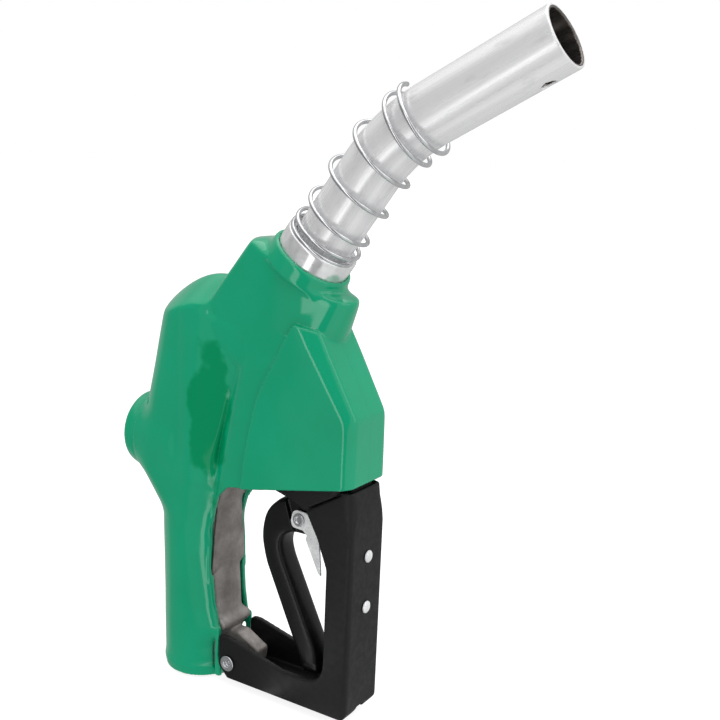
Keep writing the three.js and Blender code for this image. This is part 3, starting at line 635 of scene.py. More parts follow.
def vinyl_look():
    n = Look("glossy_green_vinyl")
    x, y, z = n.split(n.place)
    # painted reflection: an uneven darker, duller patch (darker base colour, lower specular) in the hollow
    # between the barrel and the box, standing in for a dark reflection; it is set by x and z only, so it
    # shows on both flanks
    wide = n.maths("DIVIDE", n.maths("SUBTRACT", x, PAINTED_REFLECTION_X), PAINTED_REFLECTION_WIDE)
    tall = n.maths("DIVIDE", n.maths("SUBTRACT", z, PAINTED_REFLECTION_Z), PAINTED_REFLECTION_TALL)
    squares = n.maths("ADD", n.maths("MULTIPLY", wide, wide), n.maths("MULTIPLY", tall, tall))
    spread = n.maths("SQRT", squares)
    uneven = n.maths("MULTIPLY", n.maths("SUBTRACT", n.noise(55, 3, 0.55), 0.5), 1.6)
    off_painted_reflection = n.ramp(n.maths("ADD", spread, uneven), 0, 1, 0.8, 0.98)
    patches = n.mix(n.ramp(n.noise(28, 3, 0.5), 0, 1), (0.0, 0.322, 0.158, 1), (0.0, 0.345, 0.173, 1))
    n.set("Base Color", n.mix(off_painted_reflection, (0.0, 0.262, 0.104, 1), patches))
    n.set("Specular IOR Level", n.ramp(off_painted_reflection, 0.12, 0.5, 0, 1))
    n.set("Roughness", n.ramp(n.noise(60, 4), 0.07, 0.13))
    n.set("IOR", 1.5)
    # the mould's parting line, down the front
    line = n.maths("MULTIPLY", n.maths("LESS_THAN", n.maths("ABSOLUTE", y), 0.00016),
                   n.maths("GREATER_THAN", x, 0.1))
    fine = n.bump(n.noise(900, 3), 0.00001, 0.4)
    wavy = n.bump(n.noise(52, 2, 0.4), 0.0009, 0.3, fine)
    n.set("Normal", n.bump(line, 0.0002, 0.8, wavy))
    return n.material


def cast_look():
    n = Look("rough_cast_aluminium")
    patches = n.noise(90, 5, 0.6)
    n.set("Base Color", n.mix(n.ramp(patches, 0, 1), linear(126, 120, 117), linear(158, 153, 150)))
    n.set("Metallic", 0.55)
    n.set("Roughness", n.ramp(n.noise(700, 4), 0.42, 0.62))
    grain = n.bump(n.noise(1500, 4, 0.6), 0.00016, 0.6)
    seam = n.maths("LESS_THAN", n.maths("ABSOLUTE", n.split(n.place)[1]), 0.00022)
    n.set("Normal", n.bump(seam, 0.0002, 0.6, grain))
    return n.material


def spout_look():
    n = Look("brushed_spout_aluminium")
    # along the tube, round it, and out from its centre line, in metres
    attribute = n.add("ShaderNodeAttribute", attribute_name="tube")
    place = attribute.outputs["Vector"]
    streaks = n.noise(1.0, 6, 0.65, (14, 1400, 1), place)
    bands = n.noise(1.0, 3, 0.5, (5, 160, 1), place)
    stains = n.noise(1.0, 5, 0.6, (60, 120, 1), place)
    tone = n.mix(n.ramp(streaks, 0, 1, 0.25, 0.75), linear(228, 228, 229), linear(246, 246, 246))
    tone = n.mix(n.ramp(bands, 0, 0.5, 0.35, 0.7), tone, linear(214, 214, 216))
    tone = n.mix(n.ramp(stains, 0, 0.3, 0.58, 0.75), tone, linear(150, 149, 150))
    radius = n.split(place)[2]
    inside = n.maths("LESS_THAN", radius, (SPOUT_R - 0.5 * SPOUT_WALL) * MM)
    tone = n.mix(inside, tone, linear(112, 107, 103))
    n.set("Base Color", tone)
    n.set("Metallic", n.ramp(inside, 0.34, 0.9, 0, 1))
    n.set("Roughness", n.ramp(bands, 0.2, 0.36))
    n.set("Anisotropic", 0.5)
    n.set("Normal", n.bump(streaks, 0.00003, 0.5))
    return n.material


def steel_look(name, color, low, high, grain=600, metallic=1.0):
    n = Look(name)
    tone = n.mix(n.ramp(n.noise(220, 4), 0, 1), color, tuple(0.82 * c for c in color[:3]) + (1,))
    n.set("Base Color", tone)
    n.set("Metallic", metallic)
    n.set("Roughness", n.ramp(n.noise(grain, 4), low, high))
    n.set("Normal", n.bump(n.noise(grain * 2.5, 3), 0.000003, 0.5))
    return n.material


def plastic_look(name, color, rough, depth, scale, seam=False):
    n = Look(name)
    wear = n.noise(45, 4, 0.6)
    n.set("Base Color", n.mix(n.ramp(wear, 0, 1), color, tuple(1.35 * c for c in color[:3]) + (1,)))
    n.set("Roughness", n.ramp(n.noise(300, 4), rough - 0.05, rough + 0.06))
    n.set("IOR", 1.38)
    normal = n.bump(n.noise(scale, 3, 0.6), depth, 0.7)
    if seam:
        line = n.maths("LESS_THAN", n.maths("ABSOLUTE", n.split(n.place)[1]), 0.00013)
        normal = n.bump(line, -0.0003, 1.0, normal)
    n.set("Normal", normal)
    return n.material


LOOKS = {
    "vinyl_cover": vinyl_look(),
    "casting": cast_look(),
    "spout_metal": spout_look(),
    "steel": steel_look("bright_steel", linear(214, 215, 217), 0.1, 0.2),
    "zinc": steel_look("satin_zinc", linear(246, 247, 248), 0.26, 0.32, 500, 0.25),
    "black_plastic": plastic_look("textured_black_plastic", linear(11, 11, 12), 0.52, 0.00010, 2300, True),
    "brass": steel_look("machined_brass", linear(196, 160, 92), 0.2, 0.35),
    "rubber": plastic_look("black_rubber", linear(30, 30, 31), 0.75, 0.00008, 1800),
}
TURNED_METAL = steel_look("turned_aluminium", linear(240, 240, 241), 0.12, 0.22, 400, 0.6)
LEVER_LOOK = plastic_look("lever_black", linear(8, 8, 9), 0.34, 0.00001, 1500)

SLOTS = {part["node"]: part["material_slot"] for part in frame["record"]["subparts"]}
for node, obj in frame["nodes"].items():
    obj.data.materials.clear()
    obj.data.materials.append(TURNED_METAL if SLOTS[node] == "spout_metal" else LOOKS[SLOTS[node]])


# ------------------------------------------------------------------ vinyl cover and casting

EDGE_FRONT = (108.0, 128.6)  # x and z of the box's lower edge, at the front

nose_block = hull([
    (49, 17.7, 244.0), (60, 17.9, 236.4), (67, 17.2, 231.4), (74, 15.8, 227.0), (80, 13.6, 223.4),
    (85.5, 10.6, 220.6), (89.2, 7.0, 219.0), (41, 6, 244.0), (20.6, 17.5, 209.4), (14, 7, 206),
    (44.6, 16.3, 179), (30, 6, 181), (68, 15.8, 196), (76, 13.8, 197), (82, 10.2, 198)], 3.2, 0.9)
web_block = hull([
    (27.0, 15.8, 100), (44.6, 16.5, 183), (70, 15.6, 197), (54, 15.0, 205), (46, 17.2, 112), (19, 12.6, 60),
    (12, 6, 60), (28, 7, 192)], 3.2, 0.5)
barrel_side = hull([
    (6, 18.5, 207), (38, 16.2, 199), (35.4, 15.7, 180), (26, 15.8, 150), (17, 15.8, 118), (8, 18.5, 118),
    (2, 10, 207), (2, 10, 118), (28, 8, 203)], 3.2, 1.0)
box_block = hull([
    (106.3, 12.8, 104), (103.8, 15.2, 104), (106.3, 12.8, 162.8), (103.8, 15.2, 161.6), (84.6, 13.2, 201.6),
    (76.0, 17.9, 203.8), (63.4, 18.5, 181), (55.8, 19.0, 163.7), (51.6, 19.3, 145.6), (49.2, 19.5, 132),
    (47, 19.5, 104)], 3.2, 0.5)
grip_front = outline([(0, 20), (27.2, 27, 4), (22.4, 44, 16), (19.6, 69, 16), (19.0, 86, 12),
                      (21.2, 97, 8), (27.5, 108.6, 8), (38, 118), (38, 124), (0, 124)])
front_void = outline([(27.5, -20), (28.8, 6), (26.2, 16, 4), (27.0, 32, 5), (22.6, 44, 14),
                      (20.4, 66, 14), (19.9, 88, 10), (22.2, 98.5, 8), (27.2, 108.4, 8),
                      (34.4, 115.5, 5), EDGE_FRONT, (150, 136.1), (150, -20)])


def body_form(x, y, z):
    """The nozzle's outer skin, before any opening is cut."""
    # round grip that swells into the rear barrel, with a bead at its foot and a hump on top
    swell_z = [GRIP_TOP, BARREL_FOOT]
    centre = bend(z, [-20, *swell_z, BARREL_TOP, 240], [4.6, 1.6, -5.3, 7.6, 7.6], 4.0)
    reach_x = bend(z, [*swell_z, BARREL_TOP], [0.0, 13.4, 6.4], 4.0)
    reach_y = bend(z, swell_z, [0.0, 4.0], 4.0)
    foot_bead = 0.55 * np.exp(-(((z - 6.0) / 2.6) ** 2))
    radius = bend(z, swell_z, [GRIP_R - 0.6, 18.0], 4.0) + foot_bead
    dx = np.maximum(np.abs(x - centre) - reach_x, 0)
    dy = np.maximum(np.abs(y) - reach_y, 0)
    back = np.maximum(16 - x, 0)
    top = 0.78 * (z - (225.2 - 0.0136 * back * back - 0.86 * (np.hypot(y, 6.0) - 6.0)))
    sides = fuse((np.hypot(dx, dy) - radius) * 0.93, barrel_side(x, y, z), 3.0)
    form = soft_max([sides, top], 0.6)

    # boss over the valve cap, with a groove round it
    ring = np.hypot(y, z - VALVE_Z)
    groove = 0.5 * np.exp(-(((x + 31.6) / 0.9) ** 2))
    boss = soft_max([ring - 21.5 + groove, -39.2 - x, x + 4], 1.3)
    form = fuse(form, boss, 6.0)
    form = fuse(form, slab(grip_front(x, z), y, 15.8, 3.2), 8)

    # nose, with a round pad under the collar and a throat below it
    side, ahead = nose_place(x, z)
    pad = soft_max([np.hypot(side, y) - 21.6 + 0.16 * (ahead + 0.5), ahead + 0.3, -9.6 - ahead], 0.6)
    front = np.minimum(web_block(x, y, z), fuse(nose_block(x, y, z), pad, 2.6))
    throat = np.hypot(x - 77.5 - 0.6 * (z - 200), y) - 14 + 0.22 * (z - 200)
    throat = soft_max([throat * 0.85, z - 219.4, 186 - z], 1.5)
    front = fuse(front, throat, 6.0)
    soft = np.interp(z, [150, 180, 200, 208], [1.0, 2.4, 3.0, 1.0]).astype(z.dtype)
    form = fuse(form, front, soft)
    form = fuse(form, box_block(x, y, z), 0.8)
    # the slight unevenness of dipped vinyl
    uneven = np.sin(x / 7.3 + 1.1 * np.sin(z / 13.0)) * np.sin(z / 9.1 + y / 8.3 + 0.7)
    return form + 0.10 * uneven


def cover_field(x, y, z):
    """The vinyl cover: a shell under the body's skin, with its openings cut."""
    form = body_form(x, y, z)
    shell = soft_max([form, -(form + WALL)], 0.2)
    # raised lips beside the casting's lug
    lip = soft_max([np.abs(np.abs(y) - 13.6) - 1.5, np.abs(x - 26.0) - 2.2, z - 31.5, 3 - z], 0.6)
    shell = fuse(shell, lip, 1.6)
    shell = cut(shell, front_void(x, z), 0.8)
    strip = soft_max([np.abs(y) - STRIP_HALF, 10 - x, z - 117, 4.5 - z], 0.8)
    shell = cut(shell, strip, 0.8)
    side, ahead = nose_place(x, z)
    off_nose = np.hypot(side, y)
    collar_seat = np.maximum(off_nose - COLLAR_R - 0.08, -1.3 - ahead)
    spout_hole = np.maximum(off_nose - SOCKET_R, -17 - ahead)
    shell = soft_max([shell, -np.minimum(collar_seat, spout_hole)], 0.15)
    return soft_max([shell, 1.0 - z], 0.5)


# front of the casting's bare strip along the grip: heights, and x at each
strip_front = ([0, 26, 33, 40, 66, 83, 95, 107, 114], [25.4, 26.2, 26.4, 25.9, 23.9, 22.4, 23.2, 25.6, 28.5])
lug_outline = outline([(14, 26.5), (33, 27.4, 4), (46.8, 20.2, 2.6), (46.2, 12.5, 3), (38.5, 8.5, 4),
                       (14, 8.5)])
slot_outline = outline([(50, 90), (50, 119), (54.2, 119), (54.2, 142), (62, 152), (67.6, 162),
                        (67.6, 187), (91, 187), (98, 174), (98, 134.8), (110, 134.8), (110, 90)])
cast_front = outline([(21.5, -40), (21.5, 100), (27, 113), (32, 119), (108, 131), (140, 136.7), (140, -40)])


def cast_field(x, y, z):
    """The body casting: the body's form less the cover, with a strip, bead and lug that show, and the
    bores and chambers inside."""
    form = soft_max([body_form(x, y, z) + CAST_INSET, -z], 0.5)
    form = np.maximum(form, -cast_front(x, z))
    form = np.maximum(form, -box(x, y, z, (56, -40, 80), (140, 40, 134.6)))
    form = np.maximum(form, -box(x, y, z, (98.4, -40, 80), (140, 40, 140)))
    front = bend(z, *strip_front, soft=3.0)
    strip = soft_max([np.hypot(x - front + 17, y) - 17, np.abs(y) - 11.7, 8 - x, z - 117, -z], 0.8)
    bead = slab(np.hypot((x - 24.6) * 0.9, z - 31.5) - 3.6, y, 11.8, 0.7)
    form = fuse(form, fuse(strip, bead, 3.0), 0.8)
    form = fuse(form, slab(lug_outline(x, z), y, 5.0, 0.9), 2.2)
    cast_ears = soft_max([np.abs(np.abs(y) - 10.2) - 1.4, 84 - x, x - 97.6, 124.5 - z, z - 140], 0.4)
    form = np.minimum(form, cast_ears)
    off_inlet = np.hypot(x - INLET_X, y)
    inlet = soft_max([off_inlet - INLET_R, z - 122], 0.5)
    thread = off_inlet - THREAD_R + 0.35 * np.abs(((z / THREAD_PITCH) % 1.0) - 0.5) * 2
    thread = soft_max([thread, z - THREAD_DEPTH], 0.3)
    form = cut(cut(form, inlet, 0.6), thread, 0.6)
    off_trip, off_stem = np.hypot(y, z - TRIP_Z), np.hypot(y, z - VALVE_Z)
    chamber = np.maximum(off_stem - 14.5, x - 14.4)
    fuel_way = np.maximum(off_stem - 12, np.maximum(x - 36, 14 - x))
    slot = slab(slot_outline(x, z), y, 8.8, 0.4)
    pocket = np.maximum(off_trip - 17.7, np.maximum(x, -60 - x))
    side, ahead = nose_place(x, z)
    off_nose = np.hypot(side, y)
    neck = np.maximum(off_nose - SOCKET_R, -22.4 - ahead)
    way = np.maximum(off_nose - 12.5, -72 - ahead)
    # plunger, latch balls and plunger spring; then stem, packing and packing nut
    bores = [(off_trip, 5.35, -5, 80), (off_trip, 6.5, 28, 38.5), (off_trip, 9.4, 44, 120),
             (off_stem, 3.2, 30, 80), (off_stem, 6.4, 38, 48), (off_stem, 7.6, 47.5, 60)]
    bores = [np.maximum(off - radius, np.maximum(start - x, x - end)) for off, radius, start, end in bores]
    for tool in (chamber, fuel_way, slot, pocket, neck, way, *bores):
        form = np.maximum(form, -tool)
    for (px, pz), radius in ((BRACKET_SCREW, SMALL_BORE), (LUG_PIN, LUG_PIN_BORE)):
        form = np.maximum(form, radius - np.hypot(x - px, z - pz))
    return form


def make_shells():
    moulded("cover_skin", cover_field, 1.0, "body", "cover")
    moulded("body_casting_skin", cast_field, 1.2, "body", "body_casting")


# ------------------------------------------------------------------ spout


def spout_field(x, y, z):
    along, side, across = spout_place(x, y, z)
    r = np.hypot(side, across)
    tube = soft_max([r - SPOUT_R, SPOUT_ROOT - along, along - SPOUT_END], 0.25)
    bore = r - (SPOUT_R - SPOUT_WALL)
    tube = soft_max([tube, -bore], 0.3)
    hole = np.hypot(along - (SPOUT_END - SENSOR_BACK), across) - SENSOR_R
    hole = soft_max([hole, 4 - side], 0.3)
    return cut(tube, hole, 0.7)


def make_spout():
    points, quads, normals = skin(spout_field, *layout_box("spout", grow=2), 0.85)
    spout = add_mesh("spout_tube", points, quads, normals)
    along, side, across = spout_place(*points.T)
    tube = spout.data.attributes.new("tube", "FLOAT_VECTOR", "POINT")
    values = np.stack([along * MM, np.arctan2(across, side) * SPOUT_R * MM,
                       np.hypot(side, across) * MM], axis=1)
    tube.data.foreach_set("vector", values.astype(np.float32).ravel())
    finish_piece(spout, "body", "spout")

    axis = spout_point(10) - spout_point(0)
    inner, insert = SPOUT_R + 0.3, 17.3
    collar = turned("collar_ring", [
        (inner, SPOUT_ROOT), (insert, SPOUT_ROOT), (insert, -17.6), (16.3, -17.6), (16.3, -15.4),
        (insert, -15.4), (insert, -1), (COLLAR_R, -1), (COLLAR_R, COLLAR_TOP, 1.3), (inner, COLLAR_TOP, 0.3),
    ], spout_point(0), axis, 144)
    finish_piece(collar, "body", "spout_collar", TURNED_METAL)

    low, high = layout_box("spout_screw")
    seat = [(low[0] + high[0]) / 2, low[1] + 1.7, (low[2] + high[2]) / 2]
    screw = turned("spout_screw_turned", [
        (0, -0.3), (1.1, -0.3), (1.1, 0.2), (2.4, 0.2, 0.2), (2.4, 1.4, 0.4), (1.5, 1.5), (1.5, 3.8, 0.4),
        (0, 3.8)], seat, (0, 1, 0), 48)
    finish_piece(screw, "body", "spout_screw")

    line = [spout_point(s, 8.9) for s in np.linspace(SPOUT_ROOT + 2, SPOUT_END - SENSOR_BACK - 4, 60)]
    vent = swept_wire("vent_line", line, 2.6, 24)
    finish_piece(vent, "body", "vent_tube")


# Place of the anchor spring at each half turn, along the spout from NOSE: near side, far side, ...
COIL_PLACES = [8.9, 10.4, 13.4, 14.4, 22.9, 27.3, 41.5, 45.9, 61.4, 64.6, 80.0, 82.4, 92.0, 88.9]
COIL_R = 18.1
COIL_WIRE_R = 1.1


def make_anchor_spring():
    turns = (len(COIL_PLACES) - 1) / 2
    knots = np.arange(len(COIL_PLACES)) / 2
    points = []
    for t in np.linspace(0, turns, int(turns * 60)):
        along = float(bend(t, knots, COIL_PLACES, 0.22))
        angle = -2 * math.pi * t
        points.append(spout_point(along, COIL_R * math.cos(angle), COIL_R * math.sin(angle)))
    spring = swept_wire("anchor_spring_wire", points, COIL_WIRE_R, 20)
    finish_piece(spring, "body", "anchor_spring")


# ------------------------------------------------------------------ hand guard and bracket

guard_outline = outline([
    (27.3, 28.9, 4), (27.3, 11, 4), (33.5, GUARD_BOTTOM, 3), (108.4, GUARD_BOTTOM, 1.5),
    (GUARD_FRONT, 8, 2), (GUARD_FRONT, 113, 10), (108.8, 126.2, 1), (102.2, 126.4), (102.2, 124.2),
    (82.5, 112.3, 1), (90, 99, 7), (96, 84, 9), (96, 20.5, 15), (70, 20.5, 12), (34, 28.9, 4),
])


def guard_field(x, y, z):
    """The hand guard: a channel open to the grip, with a tongue up into the cover."""
    inset = 0.10 * np.maximum(z - 112, 0)
    plan_r = 3.4 + 0.30 * np.clip(z - 106, 0, 14)
    px = np.maximum(x - (GUARD_FRONT - plan_r), 0)
    py = np.maximum(np.abs(y) - (GUARD_HALF - inset - plan_r), 0)
    plan = np.hypot(px, py) - plan_r
    form = soft_max([guard_outline(x, z), np.abs(y) - GUARD_HALF + inset, plan], 0.45)
    half = GUARD_HALF - GUARD_WALL
    channel = box(x, y, z, (10, -half, GUARD_BOTTOM + 3.4), (GUARD_FRONT - 3.6, half, 150), 0.7)
    form = cut(form, channel, 0.8)
    tongue = box(x, y, z, (102.4, -9, 120), (106.6, 9, 132), 0.5)
    form = np.minimum(form, tongue)
    notch = box(x, y, z, (104, -4.4, 0), (120, 4.4, 8), 0.5)
    form = cut(form, notch, 0.8)
    pin = np.hypot(x - LUG_PIN[0], z - LUG_PIN[1]) - LUG_PIN_BORE
    off_rivets = np.minimum(*[np.hypot(y, z - height) for height in RACK_RIVET_Z])
    rivets = np.maximum(off_rivets - SMALL_BORE, 100 - x)
    return np.maximum(np.maximum(form, -pin), -rivets)


bracket_outline = outline([
    (57.4, 119.7, 0.6), (74, 115.2, 1), (81.5, 112.75), (101.6, 124.35), (101.6, 134.2), (57.4, 134.2),
])
lip_outline = outline([(64, 119), (81.5, 109.6), (98.6, 119.4), (98.6, 131), (64, 131)])


def bracket_field(x, y, z):
    """The bracket above the guard: hollow, with a thin wall on each side that hangs lower."""
    slope = (x - 98.94) * 0.584 + (np.abs(y) - 13.9) * 0.8116
    form = soft_max([bracket_outline(x, z), np.abs(y) - 14.3, slope], 0.4)
    inside = box(x, y, z, (30, -12.2, 100), (98.8, 12.2, 150), 0.5)
    form = cut(form, inside, 0.4)
    lip = soft_max([lip_outline(x, z), np.abs(np.abs(y) - 11.5) - 0.8], 0.3)
    off_screw = np.hypot(x - BRACKET_SCREW[0], z - BRACKET_SCREW[1])
    return np.maximum(np.minimum(form, lip), SMALL_BORE - off_screw)


def rivet_profile(head_r, shank_r, under, top, tail):
    """Closed profile of a domed rivet, from under its head, its crown and the end of its tail."""
    return [(0, tail), (shank_r, tail, 0.2), (shank_r, under), (head_r, under, 0.15),
            (head_r - 0.15, under + (top - under) * 0.5, 0.4), (head_r * 0.62, top, 1.2), (0, top)]


def make_guard():
    moulded("guard_moulding", guard_field, 0.9, "body", "hand_guard")
    moulded("bracket_moulding", bracket_field, 0.7, "body", "guard_bracket")

    reach = GUARD_HALF + 0.3
    half = [(3, 0), (3, reach), (4.4, reach, 0.2), (4.3, reach + 0.75, 0.5), (3.3, reach + 0.95, 0.4),
            (2.2, reach + 0.55, 0.5), (1.9, reach - 0.6, 0.3), (1.5, reach - 1.0, 0.3),
            (0.9, reach - 0.4, 0.3), (0, reach - 0.3)]
    pin = turned("guard_pin_turned", double_ended(half), middle("guard_pin"), (0, 1, 0), 96)
    finish_piece(pin, "body", "guard_pin")

    for name in ("lower", "upper"):
        low, high = layout_box(f"rack_rivet_{name}")
        profile = rivet_profile(3.25, 2.0, GUARD_FRONT + 0.05, high[0], low[0])
        origin = (low + high) / 2 * [0, 1, 1]
        rivet = turned(f"guard_rivet_{name}", profile, origin, (1, 0, 0), 72)
        finish_piece(rivet, "body", f"rack_rivet_{name}", LOOKS["zinc"])


# ------------------------------------------------------------------ lever and clip

bar_outline = outline([
    (68, 118, 2), (68, 113.6, 3), (59.5, 112.2, 30), (50.2, 104.0, 22), (47.0, 89.5, 34),
    (50.6, 75, 40), (77, 20, 4.5), (88.5, 19.5, 4), (86.2, 32.5, 30), (63.0, 79, 30),
    (61.0, 86.0, 16), (62.8, 92.2, 9), (68, 94.4, 12), (80, 94.5, 4), (80, 118, 2),
])
arm_outline = outline([
    (68, 106), (68, 150, 3), (75.4, 170, 3), (80, 182.4, 2), (88.6, 178, 2), (80, 150, 3), (80, 106),
])
foot_outline = outline([(78.4, 20.2, 1), (88.0, 19.9, 1.2), (86.8, 24.0, 1.5), (78.6, 23.2, 1.5)])
PIVOT = middle("lever_pin")
RIVET = middle("clip_rivet")
ARM_HALF = 4.9  # half width of the lever's arm
CLIP_INNER, CLIP_OUTER = 6.95, 8.1  # inside and outside of the clip's two plates, from y = 0


def lever_field(x, y, z):
    """The lever: the bar that the fingers pull, and the narrow arm up to its pin."""
    bar = slab(bar_outline(x, z), y, 7.6, 1.9)
    step_line = (x - 66.5) * 0.94 + (z - 104) * 0.34
    ledge = soft_max([ARM_HALF - np.abs(y), -step_line, z - 130, 90 - z], 0.5)
    bar = cut(bar, ledge, 0.6)
    bar = fuse(bar, slab(foot_outline(x, z), y, 7.2, 0.6), 2.0)
    arm = slab(arm_outline(x, z), y, ARM_HALF, 0.4)
    eye = slab(np.hypot(x - PIVOT[0], z - PIVOT[2]) - 7, y, ARM_HALF, 0.3)
    form = np.minimum(np.minimum(bar, arm), eye)
    upper = soft_max([np.abs(np.abs(y) - 12) - 7.0, z - 140, 112.6 - z], 0.3)
    form = np.maximum(form, -upper)
    for px, pz in ((PIVOT[0], PIVOT[2]), (RIVET[0], RIVET[2])):
        form = np.maximum(form, RIVET_BORE - np.hypot(x - px, z - pz))
    return form


# side view of the hold-open clip, round its rivet
clip_outline = outline([(RIVET[0] + dx, RIVET[2] + dz, radius) for dx, dz, radius in [
    (-5.4, -1.5, 4), (-4, 5, 4), (4.5, 4.6, 3), (9, 1, 3), (12.2, -6, 4), (13.4, -14, 6), (14.7, -28, 0.5),
    (12.6, -26, 0.6), (4.2, -9.6, 0.4), (5, -7.5, 0.4), (2.4, -5.4, 2), (-4.4, -5, 4)]])


def clip_field(x, y, z):
    """The hold-open clip: two plates joined by a short web at their front edge."""
    form = slab(clip_outline(x, z), y, CLIP_OUTER, 0.18)
    x0, z0 = RIVET[0], RIVET[2]
    # clear between the plates: behind the web, below it and above it
    for reach_x, low_z, high_z in ((10.8, -60, 20), (40, -60, -13), (40, -2, 20)):
        low, high = (x0 - 20, -CLIP_INNER, z0 + low_z), (x0 + reach_x, CLIP_INNER, z0 + high_z)
        form = cut(form, box(x, y, z, low, high, 0.3), 0.3)
    return np.maximum(form, RIVET_BORE - np.hypot(x - x0, z - z0))


def make_lever():
    moulded("lever_moulding", lever_field, 0.75, "lever", "lever", LEVER_LOOK)
    moulded("clip_pressing", clip_field, 0.33, "clip", "hold_open_clip", grow=1)

    reach = CLIP_OUTER
    half = [(2.5, 0), (2.5, reach + 0.25), (3.6, reach + 0.25, 0.15), (3.4, reach + 0.8, 0.4),
            (2.1, reach + 0.95, 0.4), (1.5, reach + 0.45, 0.4), (0, reach + 0.35)]
    rivet = turned("clip_rivet_turned", double_ended(half), RIVET, (0, 1, 0), 72)
    finish_piece(rivet, "lever", "clip_rivet")

    low, high = layout_box("clip_spring")
    turns, coil_r, margin = 2.5, 4.3, 0.45
    line = []
    for t in np.linspace(0, turns, 120):
        angle = 2 * math.pi * t
        y = low[1] + margin + (high[1] - low[1] - 2 * margin) * t / turns
        line.append([RIVET[0] + coil_r * math.cos(angle), y, RIVET[2] + coil_r * math.sin(angle)])
    spring = swept_wire("clip_spring_wire", line, 0.4, 12, (1, 0, 0))
    finish_piece(spring, "lever", "clip_spring")


make_shells()
make_spout()
make_anchor_spring()
make_guard()
make_lever()

# ------------------------------------------------------------------ stage, light and camera


def seen_by_camera(nodes, seen, unseen):
    """Shader that is one thing to the camera and another to light and reflections."""
    mix = nodes.add("ShaderNodeMixShader")
    nodes.join(nodes.ray("Camera"), mix.inputs["Fac"])
    nodes.join(unseen, mix.inputs[1])
    nodes.join(seen, mix.inputs[2])
    return mix.outputs[0]


def make_floor():
    size = 12.0
    mesh = bpy.data.meshes.new("floor")
    mesh.from_pydata([(-size, -size, 0), (size, -size, 0), (size, size, 0), (-size, size, 0)], [],
                     [(0, 1, 2, 3)])
    floor = new_object("floor", mesh)
    floor.location.z = cad_low.z - 0.0002
    look = Look("pale_floor")
    look.set("Base Color", (0.4, 0.4, 0.4, 1))
    look.set("Roughness", 0.7)
    look.set("Specular IOR Level", 0.1)
    look.set("Emission Color", (1, 1, 1, 1))
    look.set("Emission Strength", 0.84)
    # in reflections the floor is as bright as the studio beyond it
    from_nozzle = look.add("ShaderNodeVectorMath", operation="SUBTRACT")
    from_nozzle.inputs[1].default_value = (0.07, 0, 0)
    look.join(look.place, from_nozzle.inputs[0])
    grey = look.add("ShaderNodeEmission")
    panels = look.maths("MINIMUM", panel_level(look, from_nozzle.outputs[0])[0], 2.4)
    level = look.mix(look.ray("Glossy"), (0.85, 0.85, 0.85, 1), panels)
    look.join(level, grey.inputs["Color"])
    out = look.tree.nodes["Material Output"]
    look.join(seen_by_camera(look, look.bsdf.outputs[0], grey.outputs[0]), out.inputs["Surface"])
    mesh.materials.append(look.material)


def softbox(name, direction, distance, width, height, radiance):
    """A soft light of a given size that faces the nozzle from a direction."""
    target = Vector((0.065, 0, 0.17))
    place = target + Vector(direction).normalized() * distance
    light = bpy.data.lights.new(name, "AREA")
    light.shape = "RECTANGLE"
    light.size, light.size_y = width, height
    light.energy = radiance * math.pi * width * height
    lamp = new_object(name, light)
    lamp.location = place
    lamp.rotation_mode = "QUATERNION"
    lamp.rotation_quaternion = (target - place).to_track_quat("-Z", "Y")


# The studio round the nozzle, as reflections see it: how bright it is at a number of degrees round
# from -Y towards -X. Panels of light stand between darker gaps.
PANELS = [(-180, 0.60), (-104, 0.60), (-100, 0.80), (-47, 0.80), (-43, 0.20), (-18, 0.20), (-15, 3.0),
          (-4, 3.0), (0, 0.42), (24, 0.42), (28, 0.26), (74, 0.30), (80, 0.50), (100, 0.55),
          (120, 0.5), (180, 0.5)]


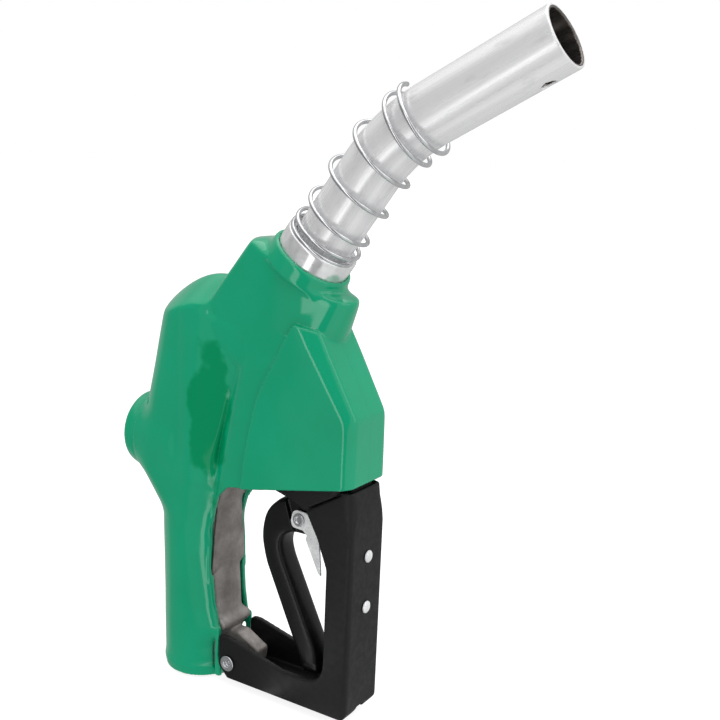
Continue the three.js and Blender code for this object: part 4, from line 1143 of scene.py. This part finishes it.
def panel_level(nodes, vector):
    """Brightness of the studio in the direction of a vector, and the vector's z."""
    x, y, z = nodes.split(vector)
    turn = nodes.maths("ARCTAN2", nodes.maths("MULTIPLY", x, -1.0), nodes.maths("MULTIPLY", y, -1.0))
    place = nodes.maths("ADD", nodes.maths("DIVIDE", turn, 2 * math.pi), 0.5)
    ramp = nodes.add("ShaderNodeValToRGB")
    steps = ramp.color_ramp.elements
    while len(steps) < len(PANELS):
        steps.new(0.5)
    # a ramp holds colours up to 1, so it holds half of each level
    for step, (degrees, level) in zip(steps, PANELS):
        step.position = 0.5 + degrees / 360
        step.color = (level / 2, level / 2, level / 2, 1)
    nodes.join(place, ramp.inputs["Fac"])
    return nodes.maths("MULTIPLY", ramp.outputs["Color"], 2.0), z


def make_light():
    softbox("overhead", (0.1, 0.15, 1.0), 1.2, 1.5, 1.3, 1.3)
    softbox("right", (0.97, 0.05, 0.45), 1.2, 0.8, 0.8, 0.9)
    world = bpy.data.worlds.new("studio")
    bpy.context.scene.world = world
    nodes = Nodes(world)
    room = nodes.tree.nodes["Background"]
    toward = nodes.add("ShaderNodeTexCoord").outputs["Generated"]
    level, height = panel_level(nodes, toward)
    # white overhead
    high = nodes.ramp(height, 0, 1, 0.5, 0.68)
    level = nodes.mix(high, level, (1.0, 1.0, 1.0, 1))
    nodes.join(nodes.mix(nodes.ray("Glossy"), (0.9, 0.9, 0.9, 1), level), room.inputs["Color"])
    seen = nodes.add("ShaderNodeBackground")
    seen.inputs["Color"].default_value = (1, 1, 1, 1)
    surface = seen_by_camera(nodes, seen.outputs[0], room.outputs[0])
    nodes.join(surface, nodes.tree.nodes["World Output"].inputs["Surface"])


def make_camera():
    """Camera at an azimuth round from -Y, above the floor's plane, and rolled a little."""
    azimuth, elevation, roll = (math.radians(angle) for angle in (31.825, 11.467, 2.403))
    target, distance = Vector((0.11615, 0, 0.19068)), 0.50581
    level = math.cos(elevation)
    ahead = Vector((-math.sin(azimuth) * level, math.cos(azimuth) * level, -math.sin(elevation)))
    flat = Vector((math.cos(azimuth), math.sin(azimuth), 0))
    right = flat * math.cos(roll) + flat.cross(ahead) * math.sin(roll)
    data = bpy.data.cameras.new("camera")
    data.lens = 51.36
    data.sensor_width = 36.0
    data.clip_start, data.clip_end = 0.01, 20
    camera = new_object("camera", data)
    turn = Matrix((right, right.cross(ahead), -ahead)).transposed().to_4x4()
    camera.matrix_world = Matrix.Translation(target - ahead * distance) @ turn
    bpy.context.scene.camera = camera


make_floor()
make_light()
make_camera()
bpy.context.scene.view_settings.view_transform = "Standard"
